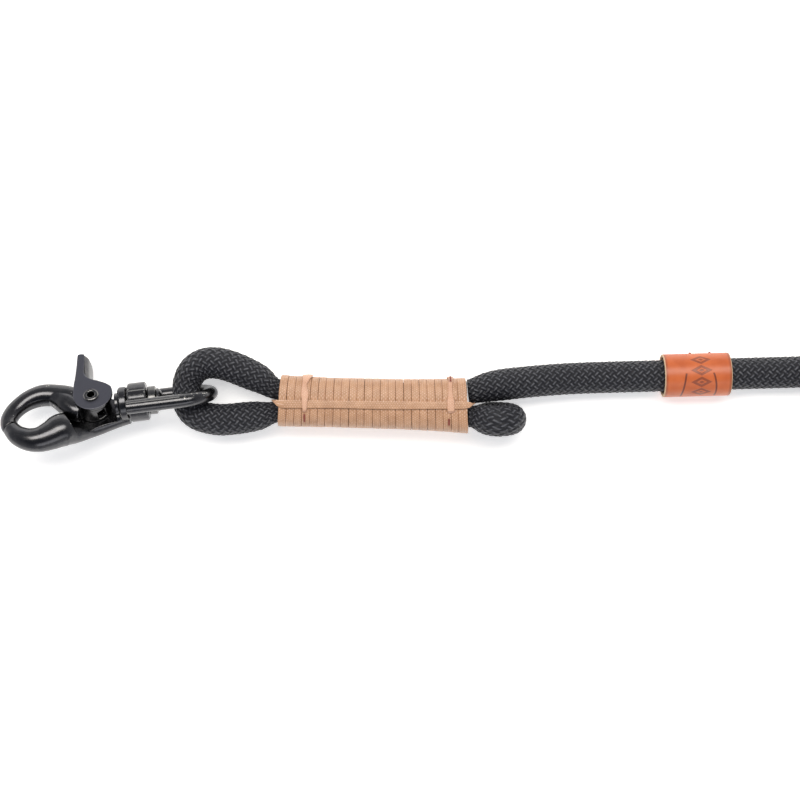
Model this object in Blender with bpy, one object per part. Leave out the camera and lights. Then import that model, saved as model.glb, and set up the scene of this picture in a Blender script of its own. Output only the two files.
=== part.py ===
"""Rope lead with a trigger snap, lying on a flat surface with its free length folded into a hank.

Metres, +Z up. The lead runs along +X from the snap. The origin is on the surface it lies on, under the
middle of the snap, the eye and the folded tail taken together.
"""

import math

import bmesh
import bpy
import numpy as np
from mathutils import Matrix, Vector

MM = 0.001
GAP = 0.3 * MM  # between neighbours that touch on the real lead

# Rope
ROPE_R = 6.4 * MM
BIGHT = Vector((-32.3, 1.8, 12.0)) * MM  # middle of the rope where it passes through the swivel eye

# Swivel eye: a D of round bar on a bored boss. Its own x runs from the snap to the rope.
EYE_YAW, EYE_PITCH, EYE_ROLL = math.radians(7), math.radians(3), math.radians(9)
BAR_R = 2.75 * MM
EYE_HALF = 12.0 * MM  # from the shank's axis to the middle of each arm
BOSS_R, BOSS_FROM, BOSS_LENGTH = 7.9 * MM, 14.4 * MM, 7.6 * MM
BOW_END = 50.3 * MM  # outer end of the bow, along the shank from the trigger's pivot
EYE_RISE = 2.7 * MM  # the rope sits this far under the shank's axis
PIVOT_TO_BIGHT = 37.3 * MM  # along the shank

# Snap. Its own x runs along the shank to the eye, y to the thumb tab and z out of its front.
HOOK_ROLL = math.radians(-46)  # about the shank, from the eye
PIVOT_UP = 1.7 * MM  # the trigger's pivot is this far from the shank's axis
SHANK_R, SHANK_BORE_R = 2.3 * MM, 2.6 * MM
NECK_R = 4.6 * MM
FLANGE_R, FLANGE_FROM, FLANGE_LENGTH = 6.85 * MM, 10.4 * MM, 3.7 * MM
COLLAR_R, COLLAR_LENGTH = 5.75 * MM, 3.3 * MM
DOME_R, DOME_LENGTH = 4.7 * MM, 2.4 * MM
LEDGE, BACK = -3.0 * MM, -6.4 * MM  # the plate under the trigger, in the snap's z
LUG_R, SWEPT_R = 8.0 * MM, 13.4 * MM
CHEEK_FACE, CHEEK_THICK, CHEEK_R = 5.8 * MM, 1.5 * MM, 7.9 * MM
DRUM_R, SPRING_ROOM_R, SPRING_ROOM_TOP = 6.9 * MM, 4.7 * MM, 3.0 * MM
RIVET_R, RIVET_BORE_R, RIVET_HEAD_R, RIVET_HEAD = 2.2 * MM, 1.35 * MM, 3.0 * MM, 0.6 * MM
PIN_HOLE_R = 2.5 * MM
SPRING_WIRE_R, SPRING_COIL_R, SPRING_TURNS, SPRING_PITCH = 0.42 * MM, 3.6 * MM, 4, 1.15 * MM
WINDOW_ANGLE, WINDOW_WIDTH = math.radians(-60), 3.4 * MM

# Whipping: flat waxed lace round the rope's parts, from its left end to its right end.
WHIP_X = (5.3 * MM, 81.9 * MM)
WHIP_TURNS = 24
WHIP_Z, WHIP_HALF_Z = 11.6 * MM, 10.2 * MM
WHIP_WALL, WHIP_SQUARE = 1.0 * MM, 3.2  # the wall, and the exponent of its rounded square section
TURN_GROOVE = 0.35 * MM
LACE_THICK, LACE_WIDTH = 0.7 * MM, 3.2 * MM
BANDS = {"cross_band_left": 16.4 * MM, "cross_band_right": 74.7 * MM}

# Leather sleeve on the lead
LEAD_STRAIGHT = (Vector((138, 9.05, 8.1)) * MM, Vector((221, 11.35, 8.1)) * MM)
SLEEVE_X, SLEEVE_Z, SLEEVE_LENGTH = 175.0 * MM, 8.9 * MM, 27.2 * MM
SLEEVE_R, SLEEVE_BORE_R, SEAM_HALF = 8.85 * MM, 7.5 * MM, math.radians(1.6)

# Hank: three turns of the free length lying on each other
FOLD_R = 39.0 * MM  # at the middle of the rope
HANK_X = (276.5 * MM, 426.5 * MM)  # the middles of its two folds
HANK_Y = -26.8 * MM
LAYER = 13.05 * MM
TIE_X, TIE_WIDTH, TIE_THICK = 351.5 * MM, 5.0 * MM, 1.0 * MM
END_WHIP_X, END_WHIP_R = (281.0 * MM, 316.6 * MM), 6.3 * MM


def clear():
    for thing in list(bpy.data.objects):
        bpy.data.objects.remove(thing, do_unlink=True)


def material(name, colour, roughness, metallic=0.0):
    mat = bpy.data.materials.new(name)
    mat.use_nodes = True
    shader = mat.node_tree.nodes["Principled BSDF"]
    shader.inputs["Base Color"].default_value = (*colour, 1.0)
    shader.inputs["Roughness"].default_value = roughness
    shader.inputs["Metallic"].default_value = metallic
    mat.diffuse_color = (*colour, 1.0)
    return mat


def finish(thing, mat, parent=None, place=None):
    """Links an object, shades it, gives it its material and sets it under its parent empty."""
    bpy.context.scene.collection.objects.link(thing)
    if thing.type == "MESH":
        thing.data.shade_smooth()
        thing.data.set_sharp_from_angle(angle=math.radians(35))
    thing.data.materials.append(mat)
    thing.parent = parent
    if place is not None:
        thing.matrix_local = place
    return thing


def mesh_object(name, points, faces, mat, parent=None, place=None):
    mesh = bpy.data.meshes.new(name)
    mesh.from_pydata([tuple(p) for p in points], [], faces)
    shape = bmesh.new()
    shape.from_mesh(mesh)
    bmesh.ops.recalc_face_normals(shape, faces=shape.faces)
    shape.to_mesh(mesh)
    shape.free()
    return finish(bpy.data.objects.new(name, mesh), mat, parent, place)


def loft(rings, closed=False):
    """Points and faces of a skin over rings of equally many points, capped unless it is closed."""
    count = len(rings[0])
    points = [p for ring in rings for p in ring]
    faces = []
    for a in range(len(rings) if closed else len(rings) - 1):
        b = (a + 1) % len(rings)
        for i in range(count):
            j = (i + 1) % count
            faces.append((a * count + i, a * count + j, b * count + j, b * count + i))
    if not closed:
        last = (len(rings) - 1) * count
        faces.append(tuple(range(count)))
        faces.append(tuple(last + i for i in range(count)))
    return points, faces


def circle(radius, count, start=0.0, sweep=math.tau):
    """Points on an arc about the origin; a full circle leaves out its repeated last point."""
    steps = count if abs(sweep) >= math.tau - 1e-9 else count - 1
    return [
        (radius * math.cos(start + sweep * i / steps), radius * math.sin(start + sweep * i / steps))
        for i in range(count)
    ]


def smooth_route(points, step):
    """Points about a step apart on a Catmull-Rom curve through rows of coordinates of any width."""
    rows = np.array(points, float)
    rows = np.vstack([2 * rows[0] - rows[1], rows, 2 * rows[-1] - rows[-2]])
    made = [rows[1]]
    for a, b, c, d in zip(rows, rows[1:], rows[2:], rows[3:]):
        pieces = max(1, round(float(np.linalg.norm((c - b)[:3])) / step))
        for i in range(1, pieces + 1):
            t = i / pieces
            made.append(
                0.5 * (2 * b + (c - a) * t + (2 * a - 5 * b + 4 * c - d) * t * t
                       + (3 * b - a - 3 * c + d) * t ** 3)
            )
    return np.array(made)


def frames_along(line):
    """Two unit vectors across the line at each of its points, turned as little as possible."""
    tangents = np.gradient(line, axis=0)
    tangents /= np.linalg.norm(tangents, axis=1)[:, None]
    side = np.cross(tangents[0], (0, 0, 1.0))
    sides = []
    for tangent in tangents:
        side = side - tangent * side.dot(tangent)
        side = side / np.linalg.norm(side)
        sides.append(side)
    sides = np.array(sides)
    return sides, np.cross(sides, tangents)


def tube(route, sides, step):
    """A skin round a route whose rows are x, y, z and radius."""
    rows = smooth_route(route, step)
    across, up = frames_along(rows[:, :3])
    rings = []
    for row, a, b in zip(rows, across, up):
        rings.append([row[:3] + a * x + b * y for x, y in circle(row[3], sides)])
    return loft(rings)


def prism(outline, low, high):
    """An outline in x and y between two heights."""
    return loft([[(x, y, z) for x, y in outline] for z in (low, high)])


def turned(profile, sides, centre=(0.0, 0.0)):
    """A body turned about the line along x through centre, from rows of x and radius."""
    rings = []
    for x, radius in profile:
        rings.append([(x, centre[0] + a, centre[1] + b) for a, b in circle(radius, sides)])
    return loft(rings)


def join(thing, operation, shapes):
    """Booleans shapes, which are pairs of points and faces in the object's own frame, into it."""
    for i, (points, faces) in enumerate(shapes):
        other = mesh_object(f"{thing.name}_{operation.lower()}_{i}", points, faces, thing.data.materials[0])
        other.parent = thing
        other.hide_render = True
        other.display_type = "WIRE"
        cut = thing.modifiers.new(other.name, "BOOLEAN")
        cut.operation = operation
        cut.solver = "EXACT"
        cut.object = other


def empty(name, place, parent=None):
    marker = bpy.data.objects.new(name, None)
    bpy.context.scene.collection.objects.link(marker)
    marker.parent = parent
    marker.matrix_local = place
    return marker


def box(x, y, z):
    return prism([(x[0], y[0]), (x[1], y[0]), (x[1], y[1]), (x[0], y[1])], z[0], z[1])


def post(radius, low, high, sides=32, centre=(0.0, 0.0)):
    """A cylinder along z."""
    return prism([(centre[0] + x, centre[1] + y) for x, y in circle(radius, sides)], low, high)


def curve_tube(name, points, radius, mat, radii=None):
    """A rope's plain tube: a curve object with a round bevel and filled caps."""
    curve = bpy.data.curves.new(name, "CURVE")
    curve.dimensions = "3D"
    curve.bevel_depth = radius
    curve.bevel_resolution = 3
    curve.use_fill_caps = True
    spline = curve.splines.new("POLY")
    spline.points.add(len(points) - 1)
    for i, point in enumerate(points):
        spline.points[i].co = (*point, 1.0)
        spline.points[i].radius = 1.0 if radii is None else radii[i] / radius
    return finish(bpy.data.objects.new(name, curve), mat)


# The snap

def snap_body(mat, parent):
    """The casting: fixed jaw, plate under the trigger, neck, flange and the riveted shank."""
    route = np.array([
        (-32.9, -7.53, 0, 3.4), (-32.2, -8.8, 0, 3.6), (-29.9, -11.6, 0, 4.1), (-26.0, -13.9, 0, 4.6),
        (-21.7, -14.5, 0, 5.1), (-17.4, -13.0, -0.3, 5.9), (-13.0, -10.3, -1.2, 6.8), (-8.5, -8.9, -3.4, 5.9),
        (-3.5, -7.2, -5.2, 5.0), (0.0, -6.5, -5.7, 4.4), (4.0, -5.6, -5.6, 4.1), (9.0, -4.8, -4.9, 3.9),
        (13.6, -4.5, -4.3, 3.6),
    ]) * MM
    body = mesh_object("hook_body", *tube(route, 20, 2.2 * MM), mat, parent)
    plate = [(-12.5, -6.5), (-8.2, -11.6), (-1.6, -10.0), (6.5, -8.1), (10.9, -7.0), (10.9, 2.9), (7.3, 3.7)]
    lug = circle(LUG_R, 14, math.radians(30), math.radians(165))
    outline = [(x * MM, y * MM) for x, y in plate] + lug
    axis = (-PIVOT_UP, 0.0)
    neck = turned([(8.9 * MM, NECK_R), (FLANGE_FROM + 0.4 * MM, NECK_R)], 28, axis)
    rim = 0.7 * MM
    flange_end = FLANGE_FROM + FLANGE_LENGTH
    flange = turned(
        [(FLANGE_FROM, FLANGE_R - rim), (FLANGE_FROM + rim, FLANGE_R), (flange_end - rim, FLANGE_R),
         (flange_end, FLANGE_R - rim)], 32, axis,
    )
    dome_from = BOSS_FROM + BOSS_LENGTH + COLLAR_LENGTH + 2 * GAP
    dome = [(dome_from, DOME_R)]
    for i in range(1, 6):
        turn = math.radians(15 * i)
        dome.append((dome_from + DOME_LENGTH * math.sin(turn), DOME_R * math.cos(turn)))
    shank = turned([(flange_end - 1 * MM, SHANK_R), (dome_from, SHANK_R)] + dome, 24, axis)
    # The pocket that leaves a flat ledge under the trigger: the jaw's full round ends at its left edge.
    step = [(-13.6, 12.0), (-13.6, -2.0), (-12.2, -4.6), (-9.4, -9.4), (-7.0, -13.7), (-3.5, -11.9),
            (0.0, -10.7), (8.8, -8.2), (8.8, 12.0)]
    ledge = prism([(x * MM, y * MM) for x, y in step], LEDGE, 12 * MM)
    join(body, "DIFFERENCE", [ledge])
    join(body, "UNION", [prism(outline, BACK, LEDGE), neck, flange, shank])
    spotface = post(RIVET_HEAD_R + 0.6 * MM, BACK - 6 * MM, BACK)
    join(body, "DIFFERENCE", [post(PIN_HOLE_R - 0.05 * MM, BACK - MM, LEDGE + MM), spotface])
    return body


def cheek_outline():
    """The front plate of the trigger: a disc that runs up into the front edge of the thumb tab."""
    disc = circle(CHEEK_R, 22, math.radians(22), math.radians(-212))
    disc = [(x + 0.6 * MM, y + 0.9 * MM) for x, y in disc]
    tab = [
        (-6.9, 6.7), (-6.3, 10.6), (-5.7, 16.0), (-5.3, 21.2), (-4.8, 22.0), (-3.1, 22.0), (-2.5, 21.3),
        (-2.8, 15.0), (-2.9, 12.3), (-2.2, 10.4), (-0.5, 8.9), (2.9, 7.2), (5.8, 5.7),
    ]
    return disc + [(x * MM, y * MM) for x, y in tab]


def thumb_pad():
    """The broad pad behind the tab's front edge: it widens to the back, where its corner is rounded off."""
    rows = [  # height in z, right edge, top
        (CHEEK_FACE - 0.3 * MM, -2.3, 22.0), (3.4 * MM, -1.2, 22.2), (0.6 * MM, -0.7, 21.9),
        (-1.9 * MM, -0.5, 21.1), (-3.1 * MM, -0.5, 19.9), (-3.6 * MM, -0.8, 18.6),
    ]
    rings = []
    for z, right, top in rows:
        low = 9.9 if z < LEDGE + 0.6 * MM else 7.0
        left = -5.3
        ring = [(left - 1.0, low), (right + 0.4, low), (right, 14.0), (right, top - 0.9), (right - 0.9, top),
                (left + 0.6, top), (left, top - 0.8), (left - 0.4, 14.0)]
        rings.append([(x * MM, y * MM, z) for x, y in ring])
    return loft(rings)


def trigger(mat, parent):
    """The moving lever: cheek, drum for the spring, thumb tab and the upper jaw."""
    jaw = np.array([
        (-3.0, 1.0, 3.6), (-7.0, 3.4, 4.4), (-10.7, 5.0, 4.8), (-15.6, 6.7, 4.6), (-20.5, 7.4, 4.5),
        (-25.3, 6.2, 4.1), (-29.3, 3.7, 3.7), (-32.3, 0.5, 3.5), (-33.9, -3.0, 3.4), (-33.85, -5.8, 3.4),
        (-33.1, -7.17, 3.4),
    ]) * MM
    lever = mesh_object(
        "trigger_lever", *tube([(x, y, 0.0, r) for x, y, r in jaw], 20, 2.2 * MM), mat, parent
    )
    root = [(-19.5, 7.2, 0, 3.4), (-15.6, 6.0, 0, 4.2), (-12.8, 3.9, 0, 4.6), (-10.3, 1.3, 0, 4.9),
            (-7.4, -1.8, 0, 4.6), (-4.5, -3.4, 0, 4.2)]
    cheek = prism(cheek_outline(), CHEEK_FACE - CHEEK_THICK, CHEEK_FACE)
    drum = post(DRUM_R, LEDGE + GAP, CHEEK_FACE - 0.5 * MM, 40)
    room = post(SPRING_ROOM_R, LEDGE - MM, SPRING_ROOM_TOP, 32)
    hole = post(PIN_HOLE_R, LEDGE - MM, CHEEK_FACE + MM, 24)
    swept = post(SWEPT_R, BACK - MM, LEDGE + GAP, 40)
    window = np.array(box((4.0 * MM, 8.0 * MM), (-WINDOW_WIDTH / 2, WINDOW_WIDTH / 2), (-1.9 * MM, 2.6 * MM))[0])
    turn = np.array(Matrix.Rotation(WINDOW_ANGLE, 3, "Z"))
    join(lever, "UNION", [tube(np.array(root) * MM, 20, 2.2 * MM), cheek, drum, thumb_pad()])
    join(lever, "DIFFERENCE", [room, hole, swept, (window @ turn.T, box((0, 1), (0, 1), (0, 1))[1])])
    return lever


def trigger_rivet(mat, parent):
    """A hollow rivet with a rolled head at each end."""
    front, rear = CHEEK_FACE + GAP, BACK - GAP
    outer = [(rear - RIVET_HEAD, RIVET_HEAD_R - 0.4 * MM), (rear - 0.3 * RIVET_HEAD, RIVET_HEAD_R),
             (rear, RIVET_HEAD_R), (rear, RIVET_R), (front, RIVET_R), (front, RIVET_HEAD_R),
             (front + 0.3 * RIVET_HEAD, RIVET_HEAD_R), (front + RIVET_HEAD, RIVET_HEAD_R - 0.5 * MM)]
    inner = [(front + RIVET_HEAD, RIVET_BORE_R + 0.35 * MM), (front + 0.3 * RIVET_HEAD, RIVET_BORE_R),
             (rear - 0.3 * RIVET_HEAD, RIVET_BORE_R), (rear - RIVET_HEAD, RIVET_BORE_R + 0.35 * MM)]
    rings = [[(x, y, z) for x, y in circle(radius, 24)] for z, radius in outer + inner]
    return mesh_object("trigger_rivet", *loft(rings, closed=True), mat, parent)


def trigger_spring(mat, parent):
    """The torsion spring in the drum: a close helix, with a leg at each end along the drum's wall."""
    low = LEDGE + GAP + SPRING_WIRE_R + 0.2 * MM
    rows = []
    for i in range(SPRING_TURNS * 12 + 1):
        turn = math.tau * i / 12
        rows.append((SPRING_COIL_R * math.cos(turn), SPRING_COIL_R * math.sin(turn),
                     low + SPRING_PITCH * i / 12, SPRING_WIRE_R))
    return mesh_object("trigger_spring", *tube(rows, 8, 2.0 * MM), mat, parent)


def swivel_eye(mat, parent):
    """The D of round bar on its bored boss, in the frame of the rope's bight."""
    axis_z = EYE_RISE
    start, end = BOSS_FROM - PIVOT_TO_BIGHT, BOW_END - PIVOT_TO_BIGHT
    bow = end - BAR_R - EYE_HALF
    line = [(start, EYE_HALF), ((start + bow) / 2, EYE_HALF)]
    line += [(bow + x, z) for x, z in circle(EYE_HALF, 13, math.pi / 2, -math.pi)]
    line += [((start + bow) / 2, -EYE_HALF), (start, -EYE_HALF)]
    rings = []
    for i, (x, z) in enumerate(line):
        before, after = line[max(i - 1, 0)], line[min(i + 1, len(line) - 1)]
        along = Vector((after[0] - before[0], 0, after[1] - before[1])).normalized()
        out = Vector((-along.z, 0, along.x))
        rings.append([
            Vector((x, 0, z + axis_z)) + out * a + Vector((0, 1, 0)) * b for a, b in circle(BAR_R, 16)
        ])
    eye = mesh_object("swivel_eye", *loft(rings), mat, parent)
    rim = 0.6 * MM
    boss = turned([(start, BOSS_R - rim), (start + rim, BOSS_R), (start + BOSS_LENGTH - rim, BOSS_R),
                   (start + BOSS_LENGTH, BOSS_R - rim)], 36, (0.0, axis_z))
    web = box((start + 0.02 * MM, start + BOSS_LENGTH - 0.6 * MM), (-BAR_R + 0.3 * MM, BAR_R - 0.3 * MM),
              (axis_z - EYE_HALF, axis_z + EYE_HALF))
    bore = turned([(start - MM, SHANK_BORE_R), (start + BOSS_LENGTH + MM, SHANK_BORE_R)], 24, (0.0, axis_z))
    join(eye, "UNION", [web, boss])
    join(eye, "DIFFERENCE", [bore])
    return eye


def swivel_collar(mat, parent):
    """The washer between the boss and the shank's riveted end."""
    start = BOSS_FROM + BOSS_LENGTH + GAP
    rim = 0.5 * MM
    outer = [(start, COLLAR_R - rim), (start + rim, COLLAR_R), (start + COLLAR_LENGTH - rim, COLLAR_R),
             (start + COLLAR_LENGTH, COLLAR_R - rim)]
    inner = [(start + COLLAR_LENGTH, SHANK_BORE_R), (start, SHANK_BORE_R)]
    rings = [[(x, -PIVOT_UP + a, b) for a, b in circle(radius, 28)] for x, radius in outer + inner]
    return mesh_object("swivel_collar", *loft(rings, closed=True), mat, parent)


# The rope's own parts

EYE_ROUTE = [  # x, y, z and radius in millimetres, from the lead's side round the eye to the tail's side
    (81.6, 3.2, 11.6, 4.2), (60, 2.7, 11.6, 4.1), (30, 2.8, 11.6, 4.0), (9, 4.0, 11.7, 4.2),
    (4.5, 4.2, 11.8, 4.2), (1.5, 5.6, 11.9, 4.7), (-2.5, 8.3, 12.0, 5.8), (-8.2, 11.0, 12.1, 6.3),
    (-14.1, 13.4, 12.1, 6.4), (-19.9, 14.8, 12.1, 6.4), (-25, 14.5, 12, 6.3), (-29.2, 12.0, 12, 6.1),
    (-31.8, 7.4, 12, 5.8), (-32.3, 1.8, 12, 5.6), (-31.2, -3.0, 12, 5.8), (-27.2, -6.5, 12, 6.1),
    (-19.9, -8.1, 12, 6.4), (-14.2, -8.0, 12, 6.4), (-8.2, -7.3, 12, 6.3), (-2.5, -6.5, 11.9, 5.8),
    (1.5, -5.6, 11.8, 4.7), (4.5, -5.0, 11.8, 4.2), (9, -4.9, 11.7, 4.2), (30, -5.6, 11.8, 3.9),
    (44, -5.9, 13.2, 3.9), (56, -6.2, 14.9, 3.9), (68, -6.6, 15.4, 4.0), (81.6, -6.8, 15.6, 4.2),
]
TAIL_TURN = [(93 + 6.6 * math.cos(t), -7.9 - 0.8 * math.sin(t), 12.9 + 6.6 * math.sin(t), 6.15)
             for t in (math.radians(a) for a in (60, 30, 0, -30, -60))]
TAIL_ROUTE = [
    (82.2, -6.9, 15.7, 4.3), (84.6, -7.0, 15.9, 4.5), (89, -8.1, 18.2, 5.9), (93, -8.7, 19.5, 6.15), *TAIL_TURN,
    (93, -7.1, 6.35, 6.15), (89.5, -7.0, 6.3, 5.9), (86, -6.8, 6.6, 4.6), (83.5, -6.7, 6.9, 4.1),
    (79, -6.6, 7.0, 3.9), (70, -6.6, 7.1, 3.9), (61, -6.6, 7.0, 3.4),
]
LEAD_ROUTE = [  # x, y, z and radius in millimetres, from the whipping to the hank
    (82.2, 3.3, 11.6, 4.3), (84.6, 3.5, 11.6, 4.5), (90, 5.0, 11.5, 6.0), (96, 6.0, 11.2, 6.4),
    (107.3, 7.25, 10.3, 6.4), (119.4, 8.25, 9.1, 6.4), (129, 8.75, 8.3, 6.4), (138, 9.05, 8.1, 6.4),
    (166, 9.83, 8.1, 6.4), (194, 10.6, 8.1, 6.4), (221, 11.35, 8.1, 6.4), (233, 11.75, 7.2, 6.4),
    (244.2, 12.1, 6.6, 6.4),
]


def rope_tube(name, route, step, mat):
    rows = smooth_route(np.array(route) * MM, step)
    return curve_tube(name, [tuple(row[:3]) for row in rows], ROPE_R, mat, [row[3] for row in rows])


def whip_middle(x):
    """The middle of the whipping in y, and its half width, at x. It is waisted between its ends."""
    t = (x - WHIP_X[0]) / (WHIP_X[1] - WHIP_X[0])
    middle = (-0.35 - 2.15 * t ** 0.75) * MM
    half = (10.1 + 0.45 * (1 - t) ** 6 + 1.2 * t ** 4) * MM
    return middle, half


def section_point(x, turn, off=0.0):
    """A point of the whipping's rounded square section at x, the given distance outside it."""
    middle, half = whip_middle(x)
    c, s = math.cos(turn), math.sin(turn)
    power = 2 / WHIP_SQUARE
    y = math.copysign(abs(c) ** power, c) * (half + off)
    z = math.copysign(abs(s) ** power, s) * (WHIP_HALF_Z + off)
    return Vector((x, middle + y, WHIP_Z + z))


def whipping_lace(mat):
    """The wound lace as a ribbed sleeve: a shallow groove between one turn and the next."""
    pitch = (WHIP_X[1] - WHIP_X[0]) / WHIP_TURNS
    rows = [(WHIP_X[0], -TURN_GROOVE)]
    for i in range(WHIP_TURNS):
        left = WHIP_X[0] + i * pitch
        rows += [(left + 0.16 * pitch, 0.0), (left + 0.84 * pitch, 0.0), (left + pitch, -TURN_GROOVE)]
    rows += [(WHIP_X[1], -WHIP_WALL), (WHIP_X[0] + 38 * MM, -WHIP_WALL), (WHIP_X[0], -WHIP_WALL)]
    turns = [math.tau * (i + 0.5) / 24 for i in range(24)]
    rings = [[section_point(x, turn, off) for turn in turns] for x, off in rows]
    return mesh_object("whipping_lace", *loft(rings, closed=True), mat)


def ribbon(name, rows, mat, closed=False):
    """A flat band from rows of middle, half width vector and half thickness vector."""
    rings = []
    for middle, wide, thick in rows:
        rings.append([middle - wide - thick, middle + wide - thick, middle + wide + thick, middle - wide + thick])
    return mesh_object(name, *loft(rings, closed), mat)


def frapping_lace(mat):
    """A loop of lace along the whipping, over its front and back and between the rope's parts at its ends."""
    front = WHIP_Z + WHIP_HALF_Z + GAP + LACE_THICK / 2
    back = WHIP_Z - WHIP_HALF_Z - GAP - LACE_THICK / 2
    left, right = WHIP_X[0] - 2.2 * MM, WHIP_X[1] + 2.5 * MM
    left_y, right_y = -0.2 * MM, -1.55 * MM
    flat, half = Vector((0, LACE_WIDTH / 2, 0)), LACE_THICK / 2
    thin, deep = Vector((0, 0.25 * MM, 0)), 0.7 * MM
    rows = []
    for i in range(8):
        x = left + 4.6 * MM + (right - left - 9.2 * MM) * i / 8
        rows.append((Vector((x, strip_middle(x), front)), flat, Vector((0, 0, half))))
    rows += [
        (Vector((right - 3.2 * MM, -2.2 * MM, front)), flat * 0.8, Vector((0, 0, half))),
        (Vector((right - 1.0 * MM, -1.5 * MM, front - 0.5 * MM)), thin * 2.4, Vector((0.25, 0, 0.5)) * MM),
        (Vector((right, right_y, front - 3.5 * MM)), thin, Vector((deep, 0, 0))),
        (Vector((right, right_y, back + 3.5 * MM)), thin, Vector((deep, 0, 0))),
        (Vector((right - 1.0 * MM, -1.5 * MM, back + 0.5 * MM)), thin * 2.4, Vector((0.25, 0, -0.5)) * MM),
        (Vector((right - 3.2 * MM, -2.2 * MM, back)), flat * 0.8, Vector((0, 0, -half))),
        (Vector((left + 3.2 * MM, -1.6 * MM, back)), flat * 0.8, Vector((0, 0, -half))),
        (Vector((left + 1.0 * MM, -0.4 * MM, back + 0.5 * MM)), thin * 2.4, Vector((-0.25, 0, -0.5)) * MM),
        (Vector((left, left_y, back + 3.5 * MM)), thin, Vector((-deep, 0, 0))),
        (Vector((left, left_y, front - 3.5 * MM)), thin, Vector((-deep, 0, 0))),
        (Vector((left + 1.0 * MM, -0.4 * MM, front - 0.5 * MM)), thin * 2.4, Vector((-0.25, 0, 0.5)) * MM),
        (Vector((left + 3.2 * MM, -1.6 * MM, front)), flat * 0.8, Vector((0, 0, half))),
    ]
    return ribbon("frapping_lace", rows, mat, closed=True)


def strip_middle(x):
    """The middle of the frapping in y."""
    t = (x - WHIP_X[0]) / (WHIP_X[1] - WHIP_X[0])
    return (-1.9 - 0.5 * t) * MM


def cross_band(name, x, mat):
    """A short lace over the frapping and round the upper side of the whipping, with its ends tucked flat."""
    low = GAP + LACE_THICK / 2
    high = low + LACE_THICK + GAP
    middle, half = whip_middle(x)
    places = []
    for step, off in ((-3.0, low), (-2.2, high), (2.2, high), (3.4, low)):
        share = (strip_middle(x) + step * MM - middle) / half
        places.append((math.acos(math.copysign(abs(share) ** (WHIP_SQUARE / 2), share)), off))
    places += [(math.radians(58 - 11.4 * i), low) for i in range(13)]
    rows = []
    for turn, off in places:
        point = section_point(x, turn, off)
        outward = (point - section_point(x, turn, off - MM)).normalized()
        rows.append((point, Vector((1.5 * MM, 0, 0)), outward * LACE_THICK / 2))
    return ribbon(name, rows, mat)


def stitch(name, points, mat, radius=0.35 * MM):
    """A short length of round thread."""
    return mesh_object(name, *tube([(*p, radius) for p in points], 8, 0.9 * MM), mat)


def tack(name, x, from_turn, to_turn, off, mat):
    turns = [math.radians(from_turn + (to_turn - from_turn) * i / 3) for i in range(4)]
    return stitch(name, [section_point(x, turn, off) for turn in turns], mat)


def sleeve_frame():
    """Where the leather sleeve sits: its x runs along the straight stretch of the lead."""
    start, end = LEAD_STRAIGHT
    slope = (end.y - start.y) / (end.x - start.x)
    middle = Vector((SLEEVE_X, start.y + slope * (SLEEVE_X - start.x), SLEEVE_Z))
    return Matrix.Translation(middle) @ Matrix.Rotation(math.atan(slope), 4, "Z")


def leather_sleeve(mat):
    """A strap of leather bent round the lead until its ends meet in a seam on the +Y side."""
    start, sweep = math.pi / 2 + SEAM_HALF, math.tau - 2 * SEAM_HALF
    outline = circle(SLEEVE_R, 41, start, sweep) + circle(SLEEVE_BORE_R, 41, start + sweep, -sweep)
    half = SLEEVE_LENGTH / 2
    rings = [[(x, y, -z) for z, y in outline] for x in (-half, half)]
    # The outline's own up is +Y, so that the seam faces +Y.
    return mesh_object("leather_sleeve", *loft(rings), mat, place=sleeve_frame())


def seam_stitch(name, x, mat):
    """One stitch across the sleeve's seam."""
    radius = SLEEVE_R + GAP + 0.4 * MM
    rows = []
    for i in range(5):
        turn = math.radians(90 + 7 * (i - 2))
        rows.append((x, radius * math.sin(turn), radius * math.cos(turn), 0.4 * MM))
    return mesh_object(name, *tube(rows, 8, 2 * MM), mat, place=sleeve_frame())


# The hank

def stadium(radius, count=13):
    """The outline of a hank's turn at a radius from the middle of its folds."""
    right = [(HANK_X[1] + x, HANK_Y + y) for x, y in circle(radius, count, -math.pi / 2, math.pi)]
    left = [(HANK_X[0] + x, HANK_Y + y) for x, y in circle(radius, count, math.pi / 2, math.pi)]
    return right + left


def rope_hank(mat):
    """The outer shape of the folded free length: a rounded loop three ropes high."""
    half = ROPE_R + 0.1 * MM
    rings = []
    for radius, z in ((FOLD_R + half, 0.0), (FOLD_R + half, 3 * LAYER), (FOLD_R - half, 3 * LAYER),
                      (FOLD_R - half, 0.0)):
        rings.append([(x, y, z) for x, y in stadium(radius)])
    hank = mesh_object("rope_hank", *loft(rings, closed=True), mat)
    lower = HANK_Y - FOLD_R
    notch = box((HANK_X[0] - 6 * MM, END_WHIP_X[1] + GAP), (lower - 9 * MM, lower + 9 * MM),
                (2 * LAYER - 0.1 * MM, 3 * LAYER + MM))
    join(hank, "DIFFERENCE", [notch])
    room = TIE_THICK + GAP
    for side in (-1, 1):
        run = HANK_Y + side * FOLD_R
        across = TIE_WIDTH / 2 + GAP
        wide = (TIE_X - across, TIE_X + across)
        join_cuts = [
            box(wide, (run - 9 * MM, run + 9 * MM), (-MM, room)),
            box(wide, (run - 9 * MM, run + 9 * MM), (3 * LAYER - room, 3 * LAYER + MM)),
            box(wide, (run - 9 * MM, run - half + room), (-MM, 3 * LAYER + MM)),
            box(wide, (run + half - room, run + 9 * MM), (-MM, 3 * LAYER + MM)),
        ]
        join(hank, "DIFFERENCE", join_cuts)
    return hank


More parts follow.
